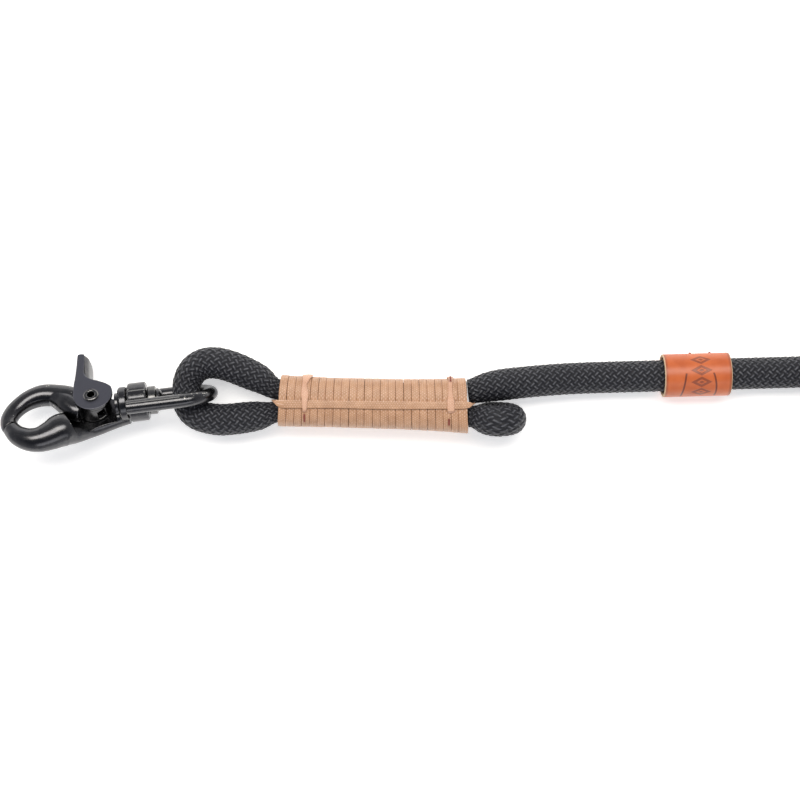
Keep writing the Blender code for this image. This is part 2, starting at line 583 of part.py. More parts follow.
def hank_tie(name, side, mat):
    """A lace tied round one run of the hank, pulled into the rope."""
    run = HANK_Y + side * FOLD_R
    half = ROPE_R + 0.1 * MM
    outline = [(run - half, 0.0), (run + half, 0.0), (run + half, 3 * LAYER), (run - half, 3 * LAYER)]
    inset = TIE_THICK
    inner = [(run - half + inset, inset), (run + half - inset, inset),
             (run + half - inset, 3 * LAYER - inset), (run - half + inset, 3 * LAYER - inset)]
    left, right = TIE_X - TIE_WIDTH / 2, TIE_X + TIE_WIDTH / 2
    rings = [[(left, y, z) for y, z in outline], [(right, y, z) for y, z in outline],
             [(right, y, z) for y, z in inner], [(left, y, z) for y, z in inner]]
    return mesh_object(name, *loft(rings, closed=True), mat)


def end_whipping(mat):
    """The lace cap on the rope's far end, ribbed by its turns."""
    count = 10
    pitch = (END_WHIP_X[1] - END_WHIP_X[0]) / count
    rows = [(END_WHIP_X[0], END_WHIP_R - MM)]
    for i in range(count):
        left = END_WHIP_X[0] + i * pitch
        rows += [(left + 0.2 * pitch, END_WHIP_R), (left + 0.8 * pitch, END_WHIP_R),
                 (left + pitch, END_WHIP_R - TURN_GROOVE)]
    points, faces = turned(rows, 20, (HANK_Y - FOLD_R, 2.5 * LAYER + 0.1 * MM))
    return mesh_object("end_whipping", points, faces, mat)


def main():
    clear()
    gunmetal = material("polished_gunmetal", (0.045, 0.045, 0.052), 0.18, 1.0)
    satin = material("satin_gunmetal", (0.075, 0.075, 0.09), 0.38, 1.0)
    steel = material("spring_steel", (0.35, 0.35, 0.36), 0.3, 1.0)
    rope = material("black_braid", (0.012, 0.012, 0.015), 0.75)
    lace = material("tan_lace", (0.58, 0.30, 0.165), 0.55)
    thread = material("red_brown_thread", (0.36, 0.07, 0.035), 0.6)
    leather = material("tan_leather", (0.62, 0.16, 0.045), 0.5)

    turned_eye = Matrix.Rotation(EYE_YAW, 4, "Z") @ Matrix.Rotation(EYE_PITCH, 4, "Y")
    turned_eye = turned_eye @ Matrix.Rotation(EYE_ROLL, 4, "X")
    bight = empty("bight_axis", Matrix.Translation(BIGHT) @ turned_eye)
    to_shank = Matrix.Translation((-PIVOT_TO_BIGHT, 0.0, EYE_RISE)) @ Matrix.Rotation(HOOK_ROLL, 4, "X")
    shank = empty("shank_axis", to_shank, bight)
    pivot = empty("trigger_axis", Matrix.Translation((0.0, PIVOT_UP, 0.0)), shank)

    snap_body(gunmetal, pivot)
    trigger(satin, pivot)
    trigger_rivet(steel, pivot)
    trigger_spring(steel, pivot)
    swivel_eye(gunmetal, bight)
    swivel_collar(gunmetal, pivot)

    rope_tube("rope_eye", EYE_ROUTE, 6 * MM, rope)
    rope_tube("rope_tail", TAIL_ROUTE, 6 * MM, rope)
    rope_tube("rope_lead", LEAD_ROUTE, 15 * MM, rope)
    whipping_lace(lace)
    frapping_lace(lace)
    for name, x in BANDS.items():
        cross_band(name, x, lace)
    over = GAP + 0.35 * MM
    tack("tack_stitch_left", BANDS["cross_band_left"] - 0.2 * MM, 107, 128, over, thread)
    tack("tack_stitch_right_upper", BANDS["cross_band_right"], 30, 48, over + LACE_THICK + GAP, thread)
    tack("tack_stitch_right_lower", BANDS["cross_band_right"] - 0.6 * MM, 108, 124, over, thread)

    leather_sleeve(leather)
    seam_stitch("seam_stitch_front", -2.0 * MM, thread)
    seam_stitch("seam_stitch_rear", 6.0 * MM, thread)

    rope_hank(rope)
    hank_tie("hank_tie_near", 1, lace)
    hank_tie("hank_tie_far", -1, lace)
    end_whipping(lace)


main()
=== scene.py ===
"""The looks of the rope lead: braided rope, wound lace, leather sleeve and the polished snap."""

import math

import bmesh
import bpy
import numpy as np
from mathutils import Matrix, Vector


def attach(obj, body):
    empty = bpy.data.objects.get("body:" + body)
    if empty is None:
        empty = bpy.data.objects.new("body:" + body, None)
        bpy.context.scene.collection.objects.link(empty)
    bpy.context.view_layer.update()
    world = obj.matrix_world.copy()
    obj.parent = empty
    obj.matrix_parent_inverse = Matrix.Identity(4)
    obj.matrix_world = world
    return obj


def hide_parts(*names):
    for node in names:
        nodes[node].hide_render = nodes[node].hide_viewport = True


MM = 0.001

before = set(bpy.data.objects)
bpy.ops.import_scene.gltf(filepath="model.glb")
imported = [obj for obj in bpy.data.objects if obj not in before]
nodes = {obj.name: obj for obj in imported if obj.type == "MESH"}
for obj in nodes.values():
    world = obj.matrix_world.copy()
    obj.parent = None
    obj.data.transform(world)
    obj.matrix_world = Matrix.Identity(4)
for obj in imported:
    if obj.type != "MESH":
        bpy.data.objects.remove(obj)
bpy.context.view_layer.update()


# Camera: straight above the lead

camera = bpy.data.objects.new("camera", bpy.data.cameras.new("camera"))
bpy.context.scene.collection.objects.link(camera)
camera.location = (0.0545, -0.0002, 0.662)
camera.data.lens = 72.0
camera.data.sensor_width = 36.0
camera.data.clip_start = 0.01
bpy.context.scene.camera = camera
bpy.context.scene.view_settings.view_transform = "Standard"


# Node materials

class Nodes:
    """A material's node tree with short calls for its nodes."""

    def __init__(self, name):
        self.mat = bpy.data.materials.new(name)
        self.mat.use_nodes = True
        self.tree = self.mat.node_tree
        self.shader = self.tree.nodes["Principled BSDF"]

    def put(self, socket, value):
        if isinstance(value, bpy.types.NodeSocket):
            self.tree.links.new(value, socket)
        elif hasattr(value, "__len__") and len(value) == 3 and len(getattr(socket, "default_value", [])) == 4:
            socket.default_value = (*value, 1.0)
        else:
            socket.default_value = value

    def math(self, operation, *values):
        node = self.tree.nodes.new("ShaderNodeMath")
        node.operation = operation
        for socket, value in zip(node.inputs, values):
            self.put(socket, value)
        return node.outputs[0]

    def uv(self, name):
        node = self.tree.nodes.new("ShaderNodeUVMap")
        node.uv_map = name
        split = self.tree.nodes.new("ShaderNodeSeparateXYZ")
        self.tree.links.new(node.outputs[0], split.inputs[0])
        return split.outputs[0], split.outputs[1]

    def place(self):
        node = self.tree.nodes.new("ShaderNodeTexCoord")
        return node.outputs["Object"]

    def noise(self, scale, detail=3.0, rough=0.55, at=None):
        node = self.tree.nodes.new("ShaderNodeTexNoise")
        node.inputs["Scale"].default_value = scale
        node.inputs["Detail"].default_value = detail
        node.inputs["Roughness"].default_value = rough
        self.tree.links.new(at or self.place(), node.inputs["Vector"])
        return node.outputs[0]

    def between(self, value, low, high, start=0.0, end=1.0):
        """value taken from start..end to low..high, held at the ends."""
        node = self.tree.nodes.new("ShaderNodeMapRange")
        for socket, number in zip(node.inputs[1:5], (start, end, low, high)):
            socket.default_value = number
        self.put(node.inputs[0], value)
        return node.outputs[0]

    def mix(self, factor, a, b):
        node = self.tree.nodes.new("ShaderNodeMix")
        node.data_type = "RGBA"
        self.put(node.inputs[0], factor)
        self.put(node.inputs[6], a)
        self.put(node.inputs[7], b)
        return node.outputs[2]

    def bump(self, height, distance, strength=1.0, under=None):
        node = self.tree.nodes.new("ShaderNodeBump")
        node.inputs["Distance"].default_value = distance
        node.inputs["Strength"].default_value = strength
        self.put(node.inputs["Height"], height)
        if under is not None:
            self.put(node.inputs["Normal"], under)
        return node.outputs[0]

    def finish(self, colour, roughness, normal=None, **fixed):
        self.put(self.shader.inputs["Base Color"], colour)
        self.put(self.shader.inputs["Roughness"], roughness)
        if normal is not None:
            self.put(self.shader.inputs["Normal"], normal)
        for name, value in fixed.items():
            self.put(self.shader.inputs[name.replace("_", " ")], value)
        return self.mat

    def braid(self, along, around, over):
        """Height and places in a braid whose strands pass over so many others, from its repeats each way."""
        a, b = self.math("ADD", around, along), self.math("SUBTRACT", around, along)
        i, j = self.math("FLOOR", a), self.math("FLOOR", b)
        place = self.math("FLOORED_MODULO", self.math("ADD", i, j), 2.0 * over)
        first = self.math("LESS_THAN", place, over - 0.5)
        across_a, across_b = self.math("SUBTRACT", a, i), self.math("SUBTRACT", b, j)
        run_a = self.math("FLOORED_MODULO", self.math("ADD", b, i), 2.0 * over)
        run_b = self.math("FLOORED_MODULO", self.math("SUBTRACT", self.math("ADD", a, j), over), 2.0 * over)

        def pick(x, y):
            return self.math("MULTIPLY_ADD", first, self.math("SUBTRACT", x, y), y)

        across = pick(across_a, across_b)
        run = self.math("DIVIDE", pick(run_a, run_b), over)
        off = self.math("MULTIPLY_ADD", across, 2.0, -1.0)
        square = self.math("MULTIPLY", self.math("MULTIPLY", off, off), 0.97)
        rounded = self.math("SQRT", self.math("SUBTRACT", 1.0, square))
        arch = self.math("SINE", self.math("MULTIPLY", run, math.pi))
        height = self.math("MULTIPLY", rounded, self.math("MULTIPLY_ADD", arch, 0.6, 0.4))
        return height, across


def braid_height(along, around, over):
    """The same braid in numbers, for the mesh."""
    a, b = around + along, around - along
    i, j = np.floor(a), np.floor(b)
    first = np.mod(i + j, 2 * over) < over - 0.5
    across = np.where(first, a - i, b - j)
    run = np.where(first, np.mod(b + i, 2 * over), np.mod(a + j - over, 2 * over)) / over
    return np.sqrt(1 - 0.97 * (2 * across - 1) ** 2) * (0.4 + 0.6 * np.sin(np.pi * run))


# Meshes

def smooth_route(points, step):
    """Points about a step apart on a Catmull-Rom curve through rows of coordinates of any width."""
    rows = np.array(points, float)
    rows = np.vstack([2 * rows[0] - rows[1], rows, 2 * rows[-1] - rows[-2]])
    made = [rows[1]]
    for a, b, c, d in zip(rows, rows[1:], rows[2:], rows[3:]):
        pieces = max(1, round(float(np.linalg.norm((c - b)[:3])) / step))
        for i in range(1, pieces + 1):
            t = i / pieces
            made.append(
                0.5 * (2 * b + (c - a) * t + (2 * a - 5 * b + 4 * c - d) * t * t
                       + (3 * b - a - 3 * c + d) * t ** 3)
            )
    return np.array(made)


def frames_along(line):
    """Two unit vectors across the line at each of its points, turned as little as possible."""
    tangents = np.gradient(line, axis=0)
    tangents /= np.linalg.norm(tangents, axis=1)[:, None]
    side = np.cross(tangents[0], (0, 0, 1.0))
    sides = []
    for tangent in tangents:
        side = side - tangent * side.dot(tangent)
        side = side / np.linalg.norm(side)
        sides.append(side)
    sides = np.array(sides)
    return sides, np.cross(sides, tangents)


def new_piece(name, points, faces, mat, uvs=None, uv_name="Weave", sharp=35):
    """A mesh object. uvs holds one pair for each corner of each face, in order."""
    mesh = bpy.data.meshes.new(name)
    mesh.from_pydata(points, [], faces)
    if uvs is not None:
        layer = mesh.uv_layers.new(name=uv_name)
        layer.data.foreach_set("uv", np.asarray(uvs, float).ravel())
    mesh.shade_smooth()
    if sharp:
        mesh.set_sharp_from_angle(angle=math.radians(sharp))
    mesh.materials.append(mat)
    thing = bpy.data.objects.new(name, mesh)
    bpy.context.scene.collection.objects.link(thing)
    return thing


def grid_faces(rows, columns, wrap_rows=False, wrap_columns=True):
    """Quads of a grid of points, and the grid place of each of their corners."""
    faces, corners = [], []
    for r in range(rows if wrap_rows else rows - 1):
        s = (r + 1) % rows
        for c in range(columns if wrap_columns else columns - 1):
            d = (c + 1) % columns
            faces.append((r * columns + c, r * columns + d, s * columns + d, s * columns + c))
            corners.append(((r, c), (r, c + 1), (r + 1, c + 1), (r + 1, c)))
    return faces, np.array(corners, float)


STRANDS = 14  # each way round the rope, passing over one and under one
REPEAT = 3.0 * MM  # of the braid along the rope
RELIEF = 0.42 * MM  # from the top of a strand to the gap between strands


def rope_shell(rows, around, relief, start=0.0):
    """Points, faces and corner places of a braided tube, and its length. Rows are x, y, z and radius."""
    line = rows[:, :3]
    steps = np.linalg.norm(np.diff(line, axis=0), axis=1)
    along = start + np.concatenate([[0.0], np.cumsum(steps)])
    across, up = frames_along(line)
    turn = math.tau * np.arange(around) / around
    pitch = along[:, None] / REPEAT
    height = braid_height(pitch, STRANDS * (turn / math.tau)[None, :] + 0 * pitch, 1)
    radius = rows[:, 3:4] + relief * (height - 0.75)
    points = (line[:, None, :] + across[:, None, :] * (radius * np.cos(turn))[:, :, None]
              + up[:, None, :] * (radius * np.sin(turn))[:, :, None])
    faces, corners = grid_faces(len(rows), around)
    uvs = np.stack([(along[np.minimum(corners[:, :, 0], len(rows) - 1).astype(int)]) / REPEAT,
                    STRANDS * corners[:, :, 1] / around], axis=2)
    return points.reshape(-1, 3), faces, uvs, along[-1]


def rope_piece(name, shells, mat):
    """One piece from one or more braided shells, each capped at both ends."""
    points, faces, uvs = [], [], []
    base = 0
    for shell, around in shells:
        own, quads, corner_uvs, _ = shell
        points.append(own)
        faces += [tuple(base + k for k in quad) for quad in quads]
        uvs += corner_uvs.reshape(-1, 2).tolist()
        count = len(own) // around
        for first, flip in ((0, True), ((count - 1) * around, False)):
            cap = [base + first + k for k in range(around)]
            faces.append(tuple(reversed(cap)) if not flip else tuple(cap))
            uvs += [[0.25, 0.5]] * around
        base += len(own)
    thing = new_piece(name, np.vstack(points).tolist(), faces, mat, uvs, sharp=None)
    shape = bmesh.new()
    shape.from_mesh(thing.data)
    bmesh.ops.recalc_face_normals(shape, faces=shape.faces)
    shape.to_mesh(thing.data)
    shape.free()
    return thing


# Rope material

def rope_material():
    n = Nodes("rope_braid")
    along, around = n.uv("Weave")
    height, across = n.braid(along, around, 1)
    off = n.math("ABSOLUTE", n.math("MULTIPLY_ADD", across, 2.0, -1.0))
    fibre = n.math("SINE", n.math("MULTIPLY", across, math.tau * 6))
    shade = n.noise(700.0, 2.0)
    lift = n.math("MULTIPLY_ADD", fibre, 0.08, height)
    lift = n.math("MULTIPLY_ADD", n.noise(5200.0, 2.0), 0.15, lift)
    # painted highlight: a thin bright glint along the middle of each strand's top, painted into the colour
    painted_glint = n.math("MULTIPLY", n.between(off, 1.0, 0.0, 0.0, 0.42), n.between(height, 0.0, 1.0, 0.30, 0.50))
    painted_glint = n.math("MULTIPLY", painted_glint, n.between(shade, 0.35, 1.0, 0.30, 0.62))
    dull = n.mix(shade, (0.0045, 0.0050, 0.0085), (0.0090, 0.0098, 0.0155))
    painted_glint_colour = n.mix(shade, (0.085, 0.088, 0.105), (0.165, 0.170, 0.190))
    colour = n.mix(painted_glint, dull, painted_glint_colour)
    normal = n.bump(lift, 0.30 * MM, 0.8)
    rough = n.between(fibre, 0.42, 0.60, -1.0, 1.0)
    return n.finish(colour, rough, normal, Specular_IOR_Level=0.35, Sheen_Weight=0.06, Sheen_Roughness=0.4)


rope_mat = rope_material()

EYE_ROUTE = [  # x, y, z and radius in millimetres
    (81.6, 3.2, 11.6, 4.2), (60, 2.7, 11.6, 4.1), (30, 2.8, 11.6, 4.0), (9, 4.0, 11.7, 4.2),
    (4.5, 4.2, 11.8, 4.2), (1.5, 5.6, 11.9, 4.7), (-2.5, 8.3, 12.0, 5.8), (-8.2, 11.0, 12.1, 6.3),
    (-14.1, 13.4, 12.1, 6.4), (-19.9, 14.8, 12.1, 6.4), (-25, 14.5, 12, 6.3), (-29.2, 12.0, 12, 6.1),
    (-31.8, 7.4, 12, 5.8), (-32.3, 1.8, 12, 5.6), (-31.2, -3.0, 12, 5.8), (-27.2, -6.5, 12, 6.1),
    (-19.9, -8.1, 12, 6.4), (-14.2, -8.0, 12, 6.4), (-8.2, -7.3, 12, 6.3), (-2.5, -6.5, 11.9, 5.8),
    (1.5, -5.6, 11.8, 4.7), (4.5, -5.0, 11.8, 4.2), (9, -4.9, 11.7, 4.2), (30, -5.6, 11.8, 3.9),
    (44, -5.9, 13.2, 3.9), (56, -6.2, 14.9, 3.9), (68, -6.6, 15.4, 4.0), (81.6, -6.8, 15.6, 4.2),
]
TAIL_TURN = [
    (93 + 6.6 * math.cos(math.radians(a)), -7.9 - 0.8 * math.sin(math.radians(a)),
     12.9 + 6.6 * math.sin(math.radians(a)), 6.15)
    for a in (60, 30, 0, -30, -60)
]
TAIL_ROUTE = [
    (82.2, -6.9, 15.7, 4.3), (84.6, -7.0, 15.9, 4.5), (89, -8.1, 18.2, 5.9), (93, -8.7, 19.5, 6.15),
    *TAIL_TURN,
    (93, -7.1, 6.35, 6.15), (89.5, -7.0, 6.3, 5.9), (86, -6.8, 6.6, 4.6), (83.5, -6.7, 6.9, 4.1),
    (79, -6.6, 7.0, 3.9), (70, -6.6, 7.1, 3.9), (61, -6.6, 7.0, 3.4),
]
LEAD_ROUTE = [
    (82.2, 3.3, 11.6, 4.9), (84.6, 3.6, 11.6, 5.2), (90, 5.0, 11.5, 6.0), (96, 6.0, 11.2, 6.4),
    (107.3, 7.25, 10.3, 6.4), (119.4, 8.25, 9.1, 6.4), (129, 8.75, 8.3, 6.4), (138, 9.05, 8.1, 6.4),
    (166, 9.83, 8.1, 6.4), (194, 10.6, 8.1, 6.4), (221, 11.35, 8.1, 6.4), (233, 11.75, 7.2, 6.4),
    (244.2, 12.1, 6.6, 6.4),
]
FOLD_R, HANK_LEFT, HANK_RIGHT, HANK_Y = 39.0, 276.5, 426.5, -26.8
LAYER, FIRST_Z, LAYERS = 13.05, 6.5, 3
ROPE_END, END_WHIP = 282.5, (281.0, 316.6)
TIE_X = 351.5


def hank_route():
    """The free length beyond the lead: turns lying on each other, ending inside the end's whipping."""
    rows = [(250, 12.2, FIRST_Z, 6.4), (262, 12.2, FIRST_Z, 6.4)]

    def straight(a, b, y, z, last=False):
        count = max(2, round(abs(b - a) / 6))
        for k in range(count + (1 if last else 0)):
            x = a + (b - a) * k / count
            pinch = max(0.0, 1 - abs(x - TIE_X) / 7.0)
            cap = max(0.0, min(1.0, (END_WHIP[1] + 5 - x) / 6)) if last else 0.0
            rows.append((x, y, z, 6.4 - 0.75 * pinch - 0.95 * cap))

    for layer in range(LAYERS):
        z = FIRST_Z + LAYER * layer
        straight(HANK_LEFT, HANK_RIGHT, HANK_Y + FOLD_R, z)
        for k in range(24):
            turn = math.pi / 2 - math.pi * k / 24
            rows.append((HANK_RIGHT + FOLD_R * math.cos(turn), HANK_Y + FOLD_R * math.sin(turn), z, 6.4))
        last = layer == LAYERS - 1
        straight(HANK_RIGHT, ROPE_END if last else HANK_LEFT, HANK_Y - FOLD_R, z, last)
        if last:
            continue
        for k in range(24):
            t = k / 24
            turn = -math.pi / 2 - math.pi * t
            rise = min(1.0, t / 0.8)
            rows.append((HANK_LEFT + FOLD_R * math.cos(turn), HANK_Y + FOLD_R * math.sin(turn),
                         z + LAYER * rise * rise * (3 - 2 * rise), 6.4))
    return rows


def metres(route):
    return np.array(route, float) * MM


lead_rows = smooth_route(metres(LEAD_ROUTE), 0.34 * MM)
hank_rows = smooth_route(metres([LEAD_ROUTE[-1]] + hank_route()), 2.0 * MM)
lead_shell = rope_shell(lead_rows, 98, RELIEF)
hank_shell = rope_shell(hank_rows, 36, 0.0, lead_shell[3])
free_rope = rope_piece("free_rope", [(lead_shell, 98), (hank_shell, 36)], rope_mat)

eye_rows = smooth_route(metres(EYE_ROUTE), 0.36 * MM)
rope_eye = rope_piece("eye_rope", [(rope_shell(eye_rows, 98, RELIEF), 98)], rope_mat)
tail_rows = smooth_route(metres(TAIL_ROUTE), 0.34 * MM)
rope_tail = rope_piece("tail_rope", [(rope_shell(tail_rows, 98, RELIEF), 98)], rope_mat)


# Lace: flat, waxed and woven

LACE_STRANDS = 4  # each way across the lace's width
LACE_REPEAT = 1.05 * MM


def lace_material(name, dark, light, glint, wax=0.32):
    n = Nodes(name)
    along, around = n.uv("Weave")
    height, _ = n.braid(along, around, 2)
    patch = n.noise(260.0, 3.0)
    fine = n.noise(2600.0, 2.0)
    base = n.mix(n.between(patch, 0.0, 1.0, 0.35, 0.65), dark, light)
    # painted highlight: the pale glint colour is painted onto the tops of the strands, in random flecks
    crest = n.between(height, 0.0, 0.75, 0.70, 1.0)
    painted_glint_mask = n.math("MULTIPLY", crest, n.between(fine, 0.1, 1.0, 0.38, 0.62))
    # painted shade: the colour turns towards a darker brown in the low gaps between the strands
    seam = n.between(height, 0.55, 0.0, 0.0, 0.45)
    colour = n.mix(seam, n.mix(painted_glint_mask, base, glint), n.mix(0.5, dark, (0.25, 0.10, 0.045)))
    lift = n.math("MULTIPLY_ADD", fine, 0.35, height)
    normal = n.bump(lift, 0.14 * MM, 0.7)
    rough = n.between(patch, wax, wax + 0.16)
    return n.finish(colour, rough, normal, IOR=1.45, Coat_Weight=0.12, Coat_Roughness=0.35)


lace_mat = lace_material("waxed_lace", (0.46, 0.245, 0.135), (0.57, 0.320, 0.185), (0.90, 0.68, 0.54))
band_mat = lace_material("waxed_lace_pale", (0.62, 0.33, 0.205), (0.73, 0.43, 0.290), (0.90, 0.68, 0.54),
                         wax=0.38)

WHIP_X = (5.3 * MM, 81.9 * MM)
WOUND_X = (5.9 * MM, 81.5 * MM)  # the first and last edge of the wound lace
WHIP_Z, WHIP_HALF_Z, WHIP_SQUARE = 11.6 * MM, 10.2 * MM, 3.2
TURN_PITCHES = [  # how wide each turn of the lace lies, against their mean
    1.00, 1.02, 0.95, 1.04, 0.98, 0.92, 1.05, 0.97, 1.03, 1.00, 0.94, 1.06,
    0.98, 1.01, 0.96, 1.05, 0.97, 1.02, 0.99, 1.03, 0.95, 1.04, 0.92, 1.20,
]


def whip_middle(x):
    t = (x - WHIP_X[0]) / (WHIP_X[1] - WHIP_X[0])
    t = min(1.0, max(0.0, t))
    middle = (-0.35 - 2.15 * t ** 0.75) * MM
    half = (10.1 + 0.45 * (1 - t) ** 6 + 1.2 * t ** 4) * MM
    return middle, half


def section_point(x, turn, off=0.0):
    """A point of the whipping's rounded square section at x, the given distance outside it."""
    middle, half = whip_middle(x)
    c, s = math.cos(turn), math.sin(turn)
    power = 2 / WHIP_SQUARE
    y = math.copysign(abs(c) ** power, c) * (half + off)
    z = math.copysign(abs(s) ** power, s) * (WHIP_HALF_Z + off)
    return Vector((x, middle + y, WHIP_Z + z))


def lace_turns(name, edges, where, mat, slant, around=120, thick=0.75 * MM, seed=3):
    """Turns of flat lace side by side: each is a closed band with rolled edges, a little askew."""
    rng = np.random.default_rng(seed)
    profile = [(0.008, 1.0), (0.010, 0.36), (0.028, 0.12), (0.08, 0.03), (0.25, 0.0), (0.5, -0.02),
               (0.75, 0.0), (0.92, 0.03), (0.972, 0.12), (0.990, 0.36), (0.992, 1.0)]
    points, faces, uvs = [], [], []
    for left, right in zip(edges, edges[1:]):
        lean, phase, rise = rng.uniform(-0.07, 0.07) * MM, rng.uniform(0, 4), rng.uniform(-0.09, 0.05) * MM
        base, width = len(points), right - left
        for share, depth in profile:
            for c in range(around):
                turn = math.tau * c / around
                x = left + share * width
                x += slant(x) * math.cos(turn) + lean * math.sin(turn + phase)
                points.append(tuple(where(x, turn, rise - depth * thick)))
        quads, corners = grid_faces(len(profile), around)
        faces += [tuple(base + k for k in quad) for quad in quads]
        last = base + (len(profile) - 1) * around
        for d in range(around):
            after = (d + 1) % around
            faces.append((base + after, base + d, last + d, last + after))
        length = 64 * MM / LACE_REPEAT
        for quad in corners:
            uvs += [(phase + corner[1] / around * length,
                     LACE_STRANDS * profile[min(int(corner[0]), len(profile) - 1)][0]) for corner in quad]
        uvs += [(0.25, 0.5)] * (4 * around)
    return new_piece(name, points, faces, mat, uvs, sharp=60)


edges = np.concatenate([[0.0], np.cumsum(TURN_PITCHES)]) / sum(TURN_PITCHES)
edges = WOUND_X[0] + edges * (WOUND_X[1] - WOUND_X[0])
whipping = lace_turns("whipping", list(edges), section_point, lace_mat,
                      lambda x: float(np.interp(x, WOUND_X, (0.8 * MM, -0.6 * MM))))


def strap(name, rows, mat, thick, across=9, closed=False, taper=0.35):
    """A flat lace with rolled edges along rows of middle, half width vector and outward vector."""
    points, faces, uvs = [], [], []
    ring = []
    for k in range(across):
        s = -1 + 2 * k / (across - 1)
        ring.append((s, 0.5 * (1 - taper * abs(s) ** 4)))
    ring = ring + [(s, -h) for s, h in reversed(ring)]
    along = 0.0
    lengths = []
    for k, (middle, wide, out) in enumerate(rows):
        if k:
            along += (middle - rows[k - 1][0]).length
        lengths.append(along)
        for s, h in ring:
            points.append(tuple(middle + wide * s + out * (h * thick)))
    quads, corners = grid_faces(len(rows), len(ring), wrap_rows=closed)
    faces += quads
    if not closed:
        last = (len(rows) - 1) * len(ring)
        faces += [tuple(range(len(ring))), tuple(last + k for k in reversed(range(len(ring))))]
    for quad in corners:
        for corner in quad:
            s = ring[int(corner[1]) % len(ring)][0]
            at = lengths[min(int(corner[0]), len(rows) - 1)]
            uvs.append((at / LACE_REPEAT, LACE_STRANDS * (s + 1) / 2))
    if not closed:
        uvs += [(0.25, 0.5)] * (2 * len(ring))
    thing = new_piece(name, points, faces, mat, uvs, sharp=50)
    shape = bmesh.new()
    shape.from_mesh(thing.data)
    bmesh.ops.recalc_face_normals(shape, faces=shape.faces)
    shape.to_mesh(thing.data)
    shape.free()
    return thing


LACE_THICK, LACE_HALF = 0.7 * MM, 1.6 * MM
FRONT = WHIP_Z + WHIP_HALF_Z + 0.2 * MM + LACE_THICK / 2
REAR = WHIP_Z - WHIP_HALF_Z - 0.2 * MM - LACE_THICK / 2


def strip_middle(x):
    t = (x - WHIP_X[0]) / (WHIP_X[1] - WHIP_X[0])
    return (-1.9 - 0.5 * t) * MM


TIP = ((0.16, 0.8), (0.42, 0.15), (0.72, 0.0))  # shares of the width and drops in mm, from a tip inwards


def frapping():
    """A lace along the whipping's front and back, folded to a point where it dives between the ropes."""
    left, right = WHIP_X[0] - 2.2 * MM, WHIP_X[1] + 2.5 * MM
    rows = []
    up = Vector((0, 0, 1))

    def add(x, y, z, half, out, lean=Vector((0, 1, 0))):
        rows.append((Vector((x, y, z)), lean * half, out))

    for k in range(41):
        x = left + 4.6 * MM + (right - left - 9.2 * MM) * k / 40
        wave = 0.12 * MM * math.sin(x * 90)
        add(x, strip_middle(x) + wave, FRONT, LACE_HALF * (0.97 + 0.05 * math.sin(x * 160)), up)
    for share, drop in reversed(TIP):
        y = (-2.3 + 0.5 * (1 - share)) * MM
        add(right - 2.9 * MM * share, y, FRONT - drop * MM, LACE_HALF * share, up)
    for z in (FRONT - 3.5 * MM, REAR + 3.5 * MM):
        add(right, -1.55 * MM, z, 0.25 * MM, Vector((1, 0, 0)))
    for share, drop in TIP:
        y = (-2.3 + 0.5 * (1 - share)) * MM
        add(right - 2.9 * MM * share, y, REAR + drop * MM, LACE_HALF * share, -up)
    for k in range(21):
        x = right - 4.6 * MM - (right - left - 9.2 * MM) * k / 20
        add(x, strip_middle(x), REAR, LACE_HALF, -up)
    for share, drop in reversed(TIP):
        y = (-1.7 + 1.3 * (1 - share)) * MM
        add(left + 2.9 * MM * share, y, REAR + drop * MM, LACE_HALF * share, -up)
    for z in (REAR + 3.5 * MM, FRONT - 3.5 * MM):
        add(left, -0.2 * MM, z, 0.25 * MM, Vector((-1, 0, 0)))
    for share, drop in TIP:
        y = (-1.7 + 1.3 * (1 - share)) * MM
        add(left + 2.9 * MM * share, y, FRONT - drop * MM, LACE_HALF * share, up)
    return strap("frapping", rows, lace_mat, LACE_THICK, closed=True)


frapping_strip = frapping()


def band(name, x, widths, sway):
    """A cross lace over the strip and round the whipping. widths: (degrees, half width in mm)."""
    rows = []
    middle, half = whip_middle(x)
    low = 0.12 * MM + LACE_THICK / 2
    high = low + LACE_THICK + 0.2 * MM
    stations = []
    for step, off in ((-3.1, low - 0.5 * MM), (-2.5, low), (-2.0, high - 0.15 * MM), (-1.0, high),
                      (0.5, high), (1.5, high), (2.1, high - 0.15 * MM), (2.8, low + 0.1 * MM), (4.0, low)):
        share = (strip_middle(x) + step * MM - middle) / half
        stations.append((math.acos(math.copysign(abs(share) ** (WHIP_SQUARE / 2), share)), off))
    stations += [(math.radians(62 - 6.0 * k), low) for k in range(24)]
    for turn, off in stations:
        degrees = math.degrees(turn)
        wide = np.interp(degrees, [w[0] for w in widths], [w[1] for w in widths]) * MM
        shift = np.interp(degrees, [w[0] for w in sway], [w[1] for w in sway]) * MM
        point = section_point(x, turn, off)
        outward = (point - section_point(x, turn, off - MM)).normalized()
        rows.append((point + Vector((shift, 0, 0)), Vector((wide, 0, 0)), outward))
    return strap(name, rows, band_mat, LACE_THICK, taper=0.5)


BANDS = {"cross_band_left": 16.4 * MM, "cross_band_right": 74.7 * MM}
left_band = band("band_left", BANDS["cross_band_left"],
                 [(-80, 1.2), (0, 1.5), (14, 2.2), (24, 2.0), (45, 1.2), (60, 0.8), (73, 1.3), (85, 1.5),
                  (91, 0.95), (97, 0.85), (101, 0.55), (125, 0.4)],
                 [(-80, 0.4), (8, 1.0), (24, 0.8), (50, 0.3), (62, -0.2), (85, 0.05), (97, -0.1),
                  (125, -0.3)])
right_band = band("band_right", BANDS["cross_band_right"],
                  [(-80, 1.1), (10, 1.2), (25, 0.85), (62, 0.8), (80, 0.9), (88, 1.4), (95, 1.35), (101, 1.0),
                   (125, 0.7)],
                  [(-80, 0.2), (30, 0.1), (62, -0.1), (84, 0.0), (95, 0.2), (125, -0.3)])

